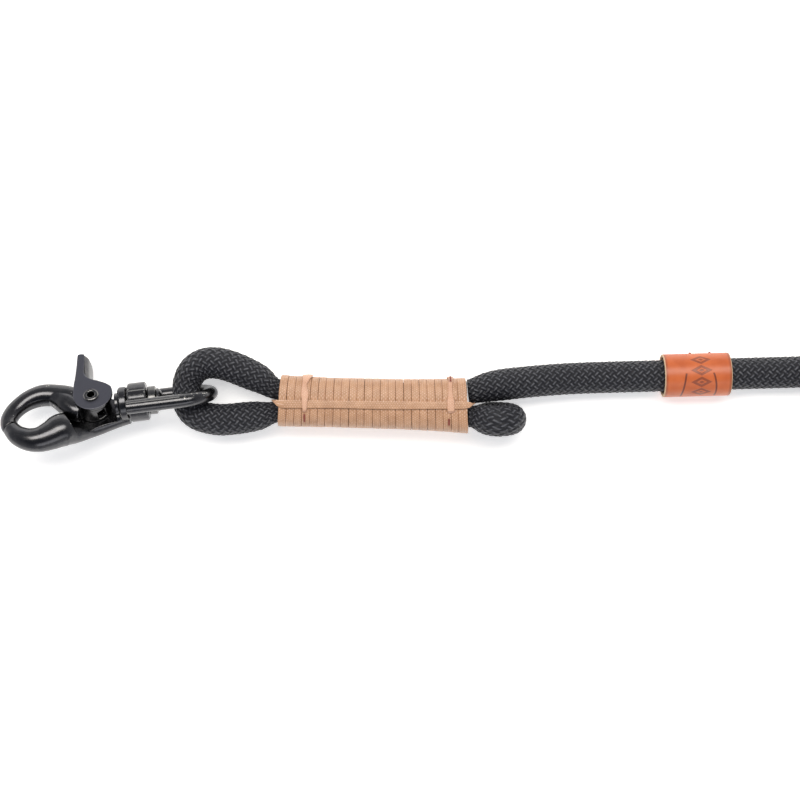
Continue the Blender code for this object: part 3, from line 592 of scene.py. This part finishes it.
tie_pieces = []
for name, side in (("tie_near", 1), ("tie_far", -1)):
    run = (HANK_Y + side * FOLD_R) * MM
    out_r = 6.05 * MM
    rows = []
    top, bottom = (FIRST_Z + 2 * LAYER) * MM, FIRST_Z * MM
    for k in range(13):
        t = math.pi * k / 12
        rows.append((run + out_r * math.cos(t), top + out_r * math.sin(t), t))
    for k in range(1, 8):
        rows.append((run - out_r, top + (bottom - top) * k / 8, math.pi))
    for k in range(13):
        t = math.pi + math.pi * k / 12
        rows.append((run + out_r * math.cos(t), bottom + out_r * math.sin(t), t))
    for k in range(1, 8):
        rows.append((run + out_r, bottom + (top - bottom) * k / 8, math.tau))
    wide = Vector((2.2 * MM, 0, 0))
    path = [(Vector((TIE_X * MM, y, z)), wide, Vector((0, math.cos(t), math.sin(t)))) for y, z, t in rows]
    tie = strap(name, path, lace_mat, 0.6 * MM, closed=True)
    tie_pieces.append(tie)


def end_section(x, turn, off=0.0):
    y, z = HANK_Y - FOLD_R, FIRST_Z + 2 * LAYER
    radius = 6.25 * MM + off
    return Vector((x, y * MM + radius * math.cos(turn), z * MM + radius * math.sin(turn)))


end_edges = np.linspace(END_WHIP[0], END_WHIP[1], 12) * MM
end_cap = lace_turns("end_lace", list(end_edges), end_section, lace_mat, lambda x: 0.0, around=64, seed=5)


# Thread

def thread_material():
    n = Nodes("red_thread")
    ply = n.noise(2400.0, 3.0)
    colour = n.mix(ply, (0.15, 0.032, 0.024), (0.34, 0.080, 0.055))
    return n.finish(colour, n.between(ply, 0.5, 0.7), n.bump(ply, 0.12 * MM, 0.8))


thread_mat = thread_material()


# Leather sleeve

SLEEVE_X, SLEEVE_Z, SLEEVE_LENGTH = 175.0 * MM, 8.9 * MM, 27.2 * MM
SLEEVE_R, SLEEVE_BORE_R = 8.85 * MM, 7.5 * MM
SLOPE = math.atan((11.35 - 9.05) / (221 - 138))
SLEEVE_Y = (9.05 + (11.35 - 9.05) / (221 - 138) * (175.0 - 138)) * MM
sleeve_place = Matrix.Translation((SLEEVE_X, SLEEVE_Y, SLEEVE_Z)) @ Matrix.Rotation(SLOPE, 4, "Z")


def leather_material():
    n = Nodes("leather")
    along, around = n.uv("Leather")  # millimetres along the sleeve and round it from the seam
    pores = n.noise(1500.0, 4.0, 0.6)
    cloud = n.noise(120.0, 3.0)
    base = n.mix(n.between(cloud, 0.0, 1.0, 0.3, 0.7), (0.52, 0.108, 0.026), (0.66, 0.155, 0.042))

    def gap_to(x, middle):
        return n.math("ABSOLUTE", n.math("SUBTRACT", x, middle))

    down = n.math("MAXIMUM", n.math("SUBTRACT", around, 13.0), 0.0)  # from the sleeve's crown towards -Y
    curve = n.math("MULTIPLY", n.math("MULTIPLY", down, down), 0.021)
    line_left = gap_to(n.math("MULTIPLY_ADD", down, 0.15, along), -5.0)
    line_right = gap_to(n.math("ADD", n.math("MULTIPLY_ADD", down, -0.33, along), curve), 5.9)
    framed = n.between(gap_to(around, 19.3), 1.0, 0.0, 5.9, 6.2)
    nearest = n.math("MINIMUM", line_left, line_right)
    lines = n.math("MULTIPLY", n.between(nearest, 1.0, 0.0, 0.24, 0.46), framed)
    cell = n.math("SUBTRACT", n.math("FLOORED_MODULO", n.math("ADD", around, 0.2), 4.9), 2.45)
    tall = n.math("DIVIDE", n.math("ABSOLUTE", cell), 2.3)
    lozenge = n.math("ADD", n.math("DIVIDE", gap_to(along, 1.1), 4.3), tall)
    ring = n.between(gap_to(lozenge, 0.74), 1.0, 0.0, 0.20, 0.30)
    dot = n.between(lozenge, 1.0, 0.0, 0.20, 0.32)
    rows = n.between(gap_to(around, 14.5), 1.0, 0.0, 9.5, 9.7)
    motif = n.math("MULTIPLY", n.math("MAXIMUM", ring, dot), rows)
    tooled = n.math("MAXIMUM", lines, motif)
    worn = n.math("MULTIPLY", n.math("MAXIMUM", lines, n.math("MULTIPLY", motif, 0.72)),
                  n.between(pores, 0.80, 1.0, 0.3, 0.7))
    colour = n.mix(worn, base, (0.130, 0.030, 0.018))
    # painted shade: a darker band on the outer face just inside each end, before the edge rolls away
    painted_edge_shade = n.between(gap_to(along, 0.0), 0.0, 0.65, 12.1, 12.7)
    colour = n.mix(painted_edge_shade, colour, (0.30, 0.075, 0.03))
    lift = n.math("SUBTRACT", n.math("MULTIPLY", pores, 0.25), tooled)
    normal = n.bump(lift, 0.16 * MM, 0.6)
    rough = n.between(pores, 0.34, 0.48)
    return n.finish(colour, rough, normal, IOR=1.5, Coat_Weight=0.15, Coat_Roughness=0.3)


def raw_leather():
    n = Nodes("leather_raw_edge")
    fibre = n.noise(3200.0, 3.0)
    colour = n.mix(fibre, (0.50, 0.33, 0.20), (0.80, 0.62, 0.42))
    return n.finish(colour, 0.85, n.bump(fibre, 0.1 * MM, 0.5))


def sleeve():
    """A strap of leather bent into a tube whose ends meet in a seam on the +Y side, with rounded edges."""
    count, half = 121, SLEEVE_LENGTH / 2
    seam = math.radians(1.4)
    soft = 0.6 * MM
    thick = SLEEVE_R - SLEEVE_BORE_R
    section = []
    for k in range(5):
        t = math.pi / 2 * k / 4
        radius = SLEEVE_R - soft + soft * math.cos(t)
        section.append((half - soft + soft * math.sin(t), radius, 1 if k > 1 else 0))
    section.append((half, SLEEVE_R - thick * 0.5, 1))
    for k in range(5):
        t = math.pi / 2 * k / 4
        section.append((half - soft + soft * math.cos(t), SLEEVE_BORE_R + soft - soft * math.sin(t), 1))
    span = [half * 2 * k / 28 - half for k in range(1, 28)]
    outer = [(x, SLEEVE_R, 0) for x in span]
    inner = [(x, SLEEVE_BORE_R, 1) for x in reversed(span)]
    left = [(-x, r, m) for x, r, m in reversed(section)]
    loop = outer + section + inner + left
    points = []
    for c in range(count):
        share = c / (count - 1)
        turn = seam + (math.tau - 2 * seam) * share
        pull = 1.0 - 0.012 * math.exp(-(min(share, 1 - share) * 40) ** 2)
        for x, r, _ in loop:
            points.append((x, r * pull * math.cos(turn), r * pull * math.sin(turn)))
    quads, corners = grid_faces(count, len(loop), wrap_rows=False, wrap_columns=True)
    uvs, which = [], []
    for quad in corners:
        k = int(quad[0][1])
        which.append(1 if (loop[k][2] or loop[(k + 1) % len(loop)][2]) else 0)
        for row, column in quad:
            x = loop[int(column) % len(loop)][0]
            uvs.append((x / MM, row / (count - 1) * 55.6))
    faces = list(quads) + [tuple(range(len(loop))), tuple((count - 1) * len(loop) + k for k in
                                                          reversed(range(len(loop))))]
    which += [1, 1]
    uvs += [(0.0, 0.0)] * (2 * len(loop))
    thing = new_piece("sleeve", points, faces, leather_material(), uvs, "Leather", sharp=50)
    thing.data.materials.append(raw_leather())
    thing.data.polygons.foreach_set("material_index", which)
    shape = bmesh.new()
    shape.from_mesh(thing.data)
    bmesh.ops.recalc_face_normals(shape, faces=shape.faces)
    shape.to_mesh(thing.data)
    shape.free()
    thing.matrix_world = sleeve_place
    return thing


sleeve_piece = sleeve()


def seam_thread(name, x):
    """A thread across the sleeve's seam, pulled down onto the leather at both ends."""
    rows = []
    for k in range(13):
        turn = math.radians(20 * k / 12 - 10)
        lift = SLEEVE_R + (0.04 - 0.5 * abs(k / 6 - 1) ** 4) * MM
        rows.append((x, lift * math.cos(turn), lift * math.sin(turn), 0.36 * MM))
    line = np.array(rows)
    across, up = frames_along(line[:, :3])
    points = []
    for row, a, b in zip(line, across, up):
        points += [tuple(row[:3] + (a * math.cos(t) + b * math.sin(t)) * row[3])
                   for t in (math.tau * c / 12 for c in range(12))]
    quads, _ = grid_faces(len(rows), 12)
    faces = [*quads, tuple(reversed(range(12))), tuple(12 * (len(rows) - 1) + c for c in range(12))]
    thing = new_piece(name, points, faces, thread_mat, sharp=None)
    thing.matrix_world = sleeve_place
    return thing


seam_threads = [seam_thread("seam_thread_front", -2.0 * MM), seam_thread("seam_thread_rear", 6.0 * MM)]


# Metal

def gunmetal(name, satin_from=None):
    """Polished dark plating; above the height satin_from of the piece's own z it is satin."""
    n = Nodes(name)
    swirl = n.noise(420.0, 3.0)
    grain = n.noise(3800.0, 2.0)
    colour = n.mix(n.between(swirl, 0.0, 1.0, 0.35, 0.65), (0.074, 0.075, 0.081), (0.098, 0.097, 0.100))
    rough = n.between(swirl, 0.19, 0.26)
    if satin_from is not None:
        split = n.tree.nodes.new("ShaderNodeSeparateXYZ")
        n.put(split.inputs[0], n.place())
        face = n.math("GREATER_THAN", split.outputs[2], satin_from)
        colour = n.mix(face, colour, n.mix(grain, (0.085, 0.087, 0.108), (0.125, 0.127, 0.150)))
        rough = n.math("MAXIMUM", rough, n.math("MULTIPLY", face, 0.46))
    # painted highlight: sharp convex edges are lightened towards a pale grey in the colour
    painted_highlight_edge = n.tree.nodes.new("ShaderNodeNewGeometry").outputs["Pointiness"]
    colour = n.mix(n.between(painted_highlight_edge, 0.0, 0.85, 0.535, 0.60), colour, (0.55, 0.54, 0.50))
    return n.finish(colour, rough, n.bump(grain, 0.02 * MM, 0.25), Metallic=1.0)


def spring_steel():
    n = Nodes("spring_steel")
    draw = n.noise(2600.0, 2.0)
    colour = n.mix(draw, (0.34, 0.34, 0.35), (0.50, 0.50, 0.51))
    return n.finish(colour, n.between(draw, 0.25, 0.38), Metallic=1.0)


# The snap: solid shapes joined and cut, then softened as a polished casting is

def loft(rings, closed=False):
    """Points and faces of a skin over rings of equally many points, capped unless it is closed."""
    count = len(rings[0])
    points = [p for ring in rings for p in ring]
    faces = []
    for a in range(len(rings) if closed else len(rings) - 1):
        b = (a + 1) % len(rings)
        for i in range(count):
            j = (i + 1) % count
            faces.append((a * count + i, a * count + j, b * count + j, b * count + i))
    if not closed:
        last = (len(rings) - 1) * count
        faces += [tuple(range(count)), tuple(last + i for i in range(count))]
    return points, faces


def circle(radius, count, start=0.0, sweep=math.tau):
    """Points on an arc about the origin; a full circle leaves out its repeated last point."""
    steps = count if abs(sweep) >= math.tau - 1e-9 else count - 1
    return [(radius * math.cos(start + sweep * i / steps), radius * math.sin(start + sweep * i / steps))
            for i in range(count)]


def tube(route, sides=48, step=0.7 * MM):
    """A skin round a route whose rows are x, y, z and radius."""
    rows = smooth_route(route, step)
    across, up = frames_along(rows[:, :3])
    return loft([[row[:3] + a * x + b * y for x, y in circle(row[3], sides)]
                 for row, a, b in zip(rows, across, up)])


def prism(outline, low, high):
    return loft([[(x, y, z) for x, y in outline] for z in (low, high)])


def box(x, y, z):
    return prism([(x[0], y[0]), (x[1], y[0]), (x[1], y[1]), (x[0], y[1])], z[0], z[1])


def post(radius, low, high, sides=96):
    return prism(circle(radius, sides), low, high)


def turned(profile, sides=96, centre=(0.0, 0.0), closed=False):
    """A body turned about the line along x through centre, from rows of x and radius."""
    rings = [[(x, centre[0] + a, centre[1] + b) for a, b in circle(radius, sides)] for x, radius in profile]
    return loft(rings, closed)


def solid(points, faces):
    mesh = bpy.data.meshes.new("shape")
    mesh.from_pydata([tuple(p) for p in points], [], faces)
    shape = bmesh.new()
    shape.from_mesh(mesh)
    bmesh.ops.recalc_face_normals(shape, faces=shape.faces)
    shape.to_mesh(mesh)
    shape.free()
    thing = bpy.data.objects.new("shape", mesh)
    bpy.context.scene.collection.objects.link(thing)
    return thing


def cast(name, mat, place, first, steps=(), grain=0.19 * MM, passes=4):
    """A metal piece: the first shape with others joined to it and cut out of it, its edges softened."""
    body = solid(*first)
    others = []
    for operation, shape in steps:
        other = solid(*shape)
        others.append(other)
        step = body.modifiers.new("step", "BOOLEAN")
        step.operation = operation
        step.solver = "EXACT"
        step.object = other
    if grain:
        even = body.modifiers.new("even", "REMESH")
        even.mode = "VOXEL"
        even.voxel_size = grain
        soft = body.modifiers.new("soft", "SMOOTH")
        soft.factor = 0.5
        soft.iterations = passes
    mesh = bpy.data.meshes.new_from_object(body.evaluated_get(bpy.context.evaluated_depsgraph_get()))
    for thing in (body, *others):
        bpy.data.objects.remove(thing, do_unlink=True)
    mesh.name = name
    mesh.materials.clear()
    mesh.materials.append(mat)
    mesh.shade_smooth()
    if not grain:
        mesh.set_sharp_from_angle(angle=math.radians(40))
    piece = bpy.data.objects.new(name, mesh)
    bpy.context.scene.collection.objects.link(piece)
    piece.matrix_world = place
    return piece


# Millimetres, in the snap's own frame: x along the shank to the eye, y to the thumb tab, z out of its front.
BIGHT = Vector((-32.3, 1.8, 12.0)) * MM
PIVOT_TO_BIGHT, PIVOT_UP, EYE_RISE = 37.3, 1.7, 2.7
eye_place = (Matrix.Translation(BIGHT) @ Matrix.Rotation(math.radians(7), 4, "Z")
             @ Matrix.Rotation(math.radians(3), 4, "Y") @ Matrix.Rotation(math.radians(9), 4, "X"))
shank_place = (eye_place @ Matrix.Translation(Vector((-PIVOT_TO_BIGHT, 0.0, EYE_RISE)) * MM)
               @ Matrix.Rotation(math.radians(-46), 4, "X"))
snap_place = shank_place @ Matrix.Translation((0.0, PIVOT_UP * MM, 0.0))

SHANK_R, SHANK_BORE_R, AXIS = 2.3, 2.6, (-PIVOT_UP, 0.0)
FLANGE_R, FLANGE_FROM, FLANGE_END = 6.85, 10.4, 14.1
BOSS_R, BOSS_FROM, BOSS_LENGTH = 7.9, 14.4, 7.6
COLLAR_R, COLLAR_LENGTH, DOME_R, DOME_LENGTH = 5.75, 3.3, 4.7, 2.4
LEDGE, BACK, LUG_R = -3.0, -6.4, 8.0
CHEEK_FACE, CHEEK_THICK, CHEEK_R, DRUM_R = 5.8, 1.5, 7.9, 6.9
PIN_HOLE_R, ROOM_R, ROOM_TOP = 2.5, 4.7, 3.0


def mm(shape):
    """A shape in millimetres taken to metres."""
    return [tuple(c * MM for c in p) for p in shape[0]], shape[1]


def hook(mat):
    route = np.array([
        (-32.9, -7.53, 0, 3.4), (-32.2, -8.8, 0, 3.6), (-29.9, -11.6, 0, 4.1), (-26.0, -13.9, 0, 4.6),
        (-21.7, -14.5, 0, 5.1), (-17.4, -13.0, -0.3, 5.9), (-13.0, -10.3, -1.2, 6.8), (-8.5, -8.9, -3.4, 5.9),
        (-3.5, -7.2, -5.2, 5.0), (0.0, -6.5, -5.7, 4.4), (4.0, -5.6, -5.6, 4.1), (9.0, -4.8, -4.9, 3.9),
        (13.6, -4.5, -4.3, 3.6),
    ])
    plate = [(-12.5, -6.5), (-8.2, -11.6), (-1.6, -10.0), (6.5, -8.1), (10.9, -7.0), (10.9, 2.9), (7.3, 3.7)]
    plate += circle(LUG_R, 48, math.radians(30), math.radians(165))
    step = [(-13.6, 12.0), (-13.6, -2.0), (-12.2, -4.6), (-9.4, -9.4), (-7.0, -13.7), (-3.5, -11.9),
            (0.0, -10.7), (8.8, -8.2), (8.8, 12.0)]
    dome_from = BOSS_FROM + BOSS_LENGTH + COLLAR_LENGTH + 0.6
    dome = []
    for i in range(12):
        turn = math.radians(7.5 * i)
        dome.append((dome_from + DOME_LENGTH * math.sin(turn), DOME_R * math.cos(turn)))
    shank = turned([(FLANGE_END - 1, SHANK_R), (dome_from, SHANK_R)] + dome, 64, AXIS)
    rim = 0.7
    flange = turned([(FLANGE_FROM, FLANGE_R - rim), (FLANGE_FROM + rim, FLANGE_R),
                     (FLANGE_END - rim, FLANGE_R), (FLANGE_END, FLANGE_R - rim)], 96, AXIS)
    return cast("snap_hook", mat, snap_place, mm(tube(route, 64, 0.6)), [
        ("DIFFERENCE", mm(prism(step, LEDGE, 12))),
        ("UNION", mm(prism(plate, BACK, LEDGE))),
        ("UNION", mm(turned([(8.9, 4.6), (FLANGE_FROM + 0.4, 4.6)], 64, AXIS))),
        ("UNION", mm(flange)),
        ("UNION", mm(shank)),
        ("DIFFERENCE", mm(post(PIN_HOLE_R - 0.05, BACK - 1, LEDGE + 1))),
        ("DIFFERENCE", mm(post(3.6, BACK - 6, BACK))),
    ])


def trigger_piece(mat):
    jaw = np.array([
        (-3.0, 1.0, 0, 3.6), (-7.0, 3.4, 0, 4.4), (-10.7, 5.0, 0, 4.8), (-15.6, 6.7, 0, 4.6),
        (-20.5, 7.4, 0, 4.5), (-25.3, 6.2, 0, 4.1), (-29.3, 3.7, 0, 3.7), (-32.3, 0.5, 0, 3.5),
        (-33.9, -3.0, 0, 3.4),
        (-33.85, -5.8, 0, 3.4), (-33.1, -7.17, 0, 3.4),
    ])
    disc = [(x + 0.6, y + 0.9) for x, y in circle(CHEEK_R, 64, math.radians(22), math.radians(-212))]
    edge = smooth_route([(-6.9, 6.7), (-6.3, 10.6), (-5.7, 16.0), (-5.3, 21.2), (-4.8, 22.0), (-3.1, 22.0),
                         (-2.5, 21.3), (-2.8, 15.0), (-2.9, 12.3), (-2.2, 10.4), (-0.5, 8.9), (2.9, 7.2),
                         (5.8, 5.7)], 0.6)
    cheek = disc + [tuple(p) for p in edge]
    root = np.array([(-19.5, 7.2, 0, 3.4), (-15.6, 6.0, 0, 4.2), (-12.8, 3.9, 0, 4.6), (-10.3, 1.3, 0, 4.9),
                     (-7.4, -1.8, 0, 4.6), (-4.5, -3.4, 0, 4.2)])
    rows = [(CHEEK_FACE - 0.3, -2.3, 22.0), (3.4, -1.2, 22.2), (0.6, -0.7, 21.9), (-1.9, -0.5, 21.1),
            (-3.1, -0.5, 19.9), (-3.6, -0.8, 18.6)]
    pad = []
    for z, right, top in smooth_route(rows, 0.4):
        low = 9.9 if z < LEDGE + 0.6 else 7.0
        pad.append([(x, y, z) for x, y in (
            (-6.3, low), (right + 0.4, low), (right, 14.0), (right, top - 0.9), (right - 0.9, top),
            (-4.7, top), (-5.3, top - 0.8), (-5.7, 14.0))])
    turn = np.array(Matrix.Rotation(math.radians(-60), 3, "Z"))
    window = box((4.0, 8.0), (-1.7, 1.7), (-1.9, 2.6))
    return cast("snap_trigger", mat, snap_place, mm(tube(jaw, 64, 0.6)), [
        ("UNION", mm(tube(root, 64, 0.6))),
        ("UNION", mm(prism(cheek, CHEEK_FACE - CHEEK_THICK, CHEEK_FACE))),
        ("UNION", mm(post(DRUM_R, LEDGE + 0.3, CHEEK_FACE - 0.5))),
        ("UNION", mm(loft(pad))),
        ("DIFFERENCE", mm(post(ROOM_R, LEDGE - 1, ROOM_TOP))),
        ("DIFFERENCE", mm(post(PIN_HOLE_R, LEDGE - 1, CHEEK_FACE + 1))),
        ("DIFFERENCE", mm(post(13.4, BACK - 1, LEDGE + 0.3))),
        ("DIFFERENCE", mm((np.array(window[0]) @ turn.T, window[1]))),
    ])


def rivet(mat):
    front, rear, head = CHEEK_FACE + 0.3, BACK - 0.3, 0.6
    shape = [(rear - head, 2.0), (rear - 0.9 * head, 2.5), (rear - 0.6 * head, 2.85),
             (rear - 0.25 * head, 3.0), (rear, 2.9), (rear, 2.2), (front, 2.2), (front, 2.9),
             (front + 0.25 * head, 3.0),
             (front + 0.6 * head, 2.85), (front + 0.9 * head, 2.4), (front + head, 2.1),
             (front + 0.9 * head, 1.75), (front + 0.4 * head, 1.45), (front - 0.6, 1.35),
             (rear + 0.6, 1.35), (rear - 0.4 * head, 1.45),
             (rear - 0.9 * head, 1.75)]
    rings = [[(x, y, z) for x, y in circle(radius, 72)] for z, radius in shape]
    return cast("snap_rivet", mat, snap_place, mm(loft(rings, closed=True)), grain=0)


def spring(mat):
    coil_r, wire_r, pitch = 3.6, 0.42, 1.15
    rows = []
    for i in range(97):
        turn = math.tau * i / 24
        rows.append((coil_r * math.cos(turn), coil_r * math.sin(turn), LEDGE + 0.92 + pitch * i / 24, wire_r))
    return cast("snap_spring", mat, snap_place, mm(tube(rows, 16, 0.9)), grain=0)


def eye_piece(mat):
    start, end, half, bar = BOSS_FROM - PIVOT_TO_BIGHT, 50.3 - PIVOT_TO_BIGHT, 12.0, 2.75
    bow = end - bar - half
    line = [(start + (bow - start) * k / 16, half) for k in range(16)]
    line += [(bow + x, z) for x, z in circle(half, 49, math.pi / 2, -math.pi)]
    line += [(bow - (bow - start) * k / 16, -half) for k in range(1, 17)]
    rings = []
    for i, (x, z) in enumerate(line):
        before, after = line[max(i - 1, 0)], line[min(i + 1, len(line) - 1)]
        along = Vector((after[0] - before[0], 0, after[1] - before[1])).normalized()
        out = Vector((-along.z, 0, along.x))
        rings.append([Vector((x, 0, z + EYE_RISE)) + out * a + Vector((0, b, 0)) for a, b in circle(bar, 48)])
    across = (0.0, EYE_RISE)
    boss = turned([(start, BOSS_R - 0.6), (start + 0.6, BOSS_R), (start + BOSS_LENGTH - 0.6, BOSS_R),
                   (start + BOSS_LENGTH, BOSS_R - 0.6)], 96, across)
    web = box((start + 0.02, start + BOSS_LENGTH - 0.6), (0.3 - bar, bar - 0.3),
              (EYE_RISE - half, EYE_RISE + half))
    bore = turned([(start - 1, SHANK_BORE_R), (start + BOSS_LENGTH + 1, SHANK_BORE_R)], 64, across)
    return cast("snap_eye", mat, eye_place, mm(loft(rings)), [
        ("UNION", mm(web)), ("UNION", mm(boss)), ("DIFFERENCE", mm(bore)),
    ])


def collar(mat):
    start = BOSS_FROM + BOSS_LENGTH + 0.3
    end = start + COLLAR_LENGTH
    shape = [(start, COLLAR_R - 0.5), (start + 0.15, COLLAR_R - 0.15), (start + 0.5, COLLAR_R),
             (end - 0.5, COLLAR_R), (end - 0.15, COLLAR_R - 0.15), (end, COLLAR_R - 0.5), (end, SHANK_BORE_R),
             (start, SHANK_BORE_R)]
    return cast("snap_collar", mat, snap_place, mm(turned(shape, 96, AXIS, closed=True)), grain=0)


plain_metal = gunmetal("gunmetal")
satin_metal = gunmetal("gunmetal_satin_cheek", CHEEK_FACE * MM - 0.12 * MM)
hook_piece = hook(plain_metal)
lever_piece = trigger_piece(satin_metal)
rivet_piece = rivet(plain_metal)
spring_piece = spring(spring_steel())
swivel_piece = eye_piece(plain_metal)
collar_piece = collar(plain_metal)

for name in ("tack_stitch_left", "tack_stitch_right_upper", "tack_stitch_right_lower"):
    nodes[name].data.materials.clear()
    nodes[name].data.materials.append(thread_mat)


# What rides on what

RIDES = [
    (free_rope, "rope", ("rope_lead", "rope_hank"), "rope"),
    (rope_eye, "rope", ("rope_eye",), "rope"),
    (rope_tail, "rope", ("rope_tail",), "rope"),
    (whipping, "rope", ("whipping_lace",), "waxed_lace"),
    (frapping_strip, "rope", ("frapping_lace",), "waxed_lace"),
    (left_band, "rope", ("cross_band_left",), "waxed_lace"),
    (right_band, "rope", ("cross_band_right",), "waxed_lace"),
    (tie_pieces[0], "rope", ("hank_tie_near",), "waxed_lace"),
    (tie_pieces[1], "rope", ("hank_tie_far",), "waxed_lace"),
    (end_cap, "rope", ("end_whipping",), "waxed_lace"),
    (sleeve_piece, "sleeve", ("leather_sleeve",), "leather"),
    (seam_threads[0], "sleeve", ("seam_stitch_front",), "thread"),
    (seam_threads[1], "sleeve", ("seam_stitch_rear",), "thread"),
    (hook_piece, "snap", ("hook_body",), "gunmetal"),
    (collar_piece, "snap", ("swivel_collar",), "gunmetal"),
    (swivel_piece, "eye", ("swivel_eye",), "gunmetal"),
    (lever_piece, "trigger", ("trigger_lever",), "gunmetal"),
    (rivet_piece, "snap", ("trigger_rivet",), "spring_steel"),
    (spring_piece, "snap", ("trigger_spring",), "spring_steel"),
]
for piece, body, replaced, slot in RIDES:
    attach(piece, body)
    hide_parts(*replaced)


# Floor and light

floor_mesh = bpy.data.meshes.new("floor")
floor_mesh.from_pydata([(-3, -3, 0), (3, -3, 0), (3, 3, 0), (-3, 3, 0)], [], [(0, 1, 2, 3)])
floor = bpy.data.objects.new("floor", floor_mesh)
bpy.context.scene.collection.objects.link(floor)
paper = Nodes("floor")
floor_mesh.materials.append(
    paper.finish((0.93, 0.93, 0.93), 0.9, Emission_Color=(1.0, 1.0, 1.0), Emission_Strength=0.50)
)

world = bpy.data.worlds.new("studio")
world.use_nodes = True
sky = world.node_tree
direction = sky.nodes.new("ShaderNodeTexCoord")
parts = sky.nodes.new("ShaderNodeSeparateXYZ")
shade = sky.nodes.new("ShaderNodeValToRGB")
sky.links.new(direction.outputs["Generated"], parts.inputs[0])
sky.links.new(parts.outputs[2], shade.inputs[0])
sky.links.new(shade.outputs[0], sky.nodes["Background"].inputs[0])
shade.color_ramp.elements[0].position = 0.05
shade.color_ramp.elements[0].color = (0.62, 0.62, 0.64, 1.0)
shade.color_ramp.elements[1].position = 0.80
shade.color_ramp.elements[1].color = (0.09, 0.10, 0.13, 1.0)
sky.nodes["Background"].inputs[1].default_value = 1.0
bpy.context.scene.world = world


def softbox(name, where, aim, size, power, colour=(1, 1, 1)):
    lamp = bpy.data.lights.new(name, "AREA")
    lamp.shape = "RECTANGLE"
    lamp.size, lamp.size_y = size
    lamp.energy = power
    lamp.color = colour
    thing = bpy.data.objects.new(name, lamp)
    bpy.context.scene.collection.objects.link(thing)
    thing.location = where
    thing.rotation_euler = (Vector(aim) - Vector(where)).to_track_quat("-Z", "Y").to_euler()


softbox("key", (0.0, 0.42, 1.05), (0.05, 0.0, 0.0), (1.4, 0.5), 14, (1.0, 0.96, 0.89))
softbox("fill", (0.3, -0.9, 0.8), (0.05, 0.0, 0.0), (1.2, 0.5), 2.5)
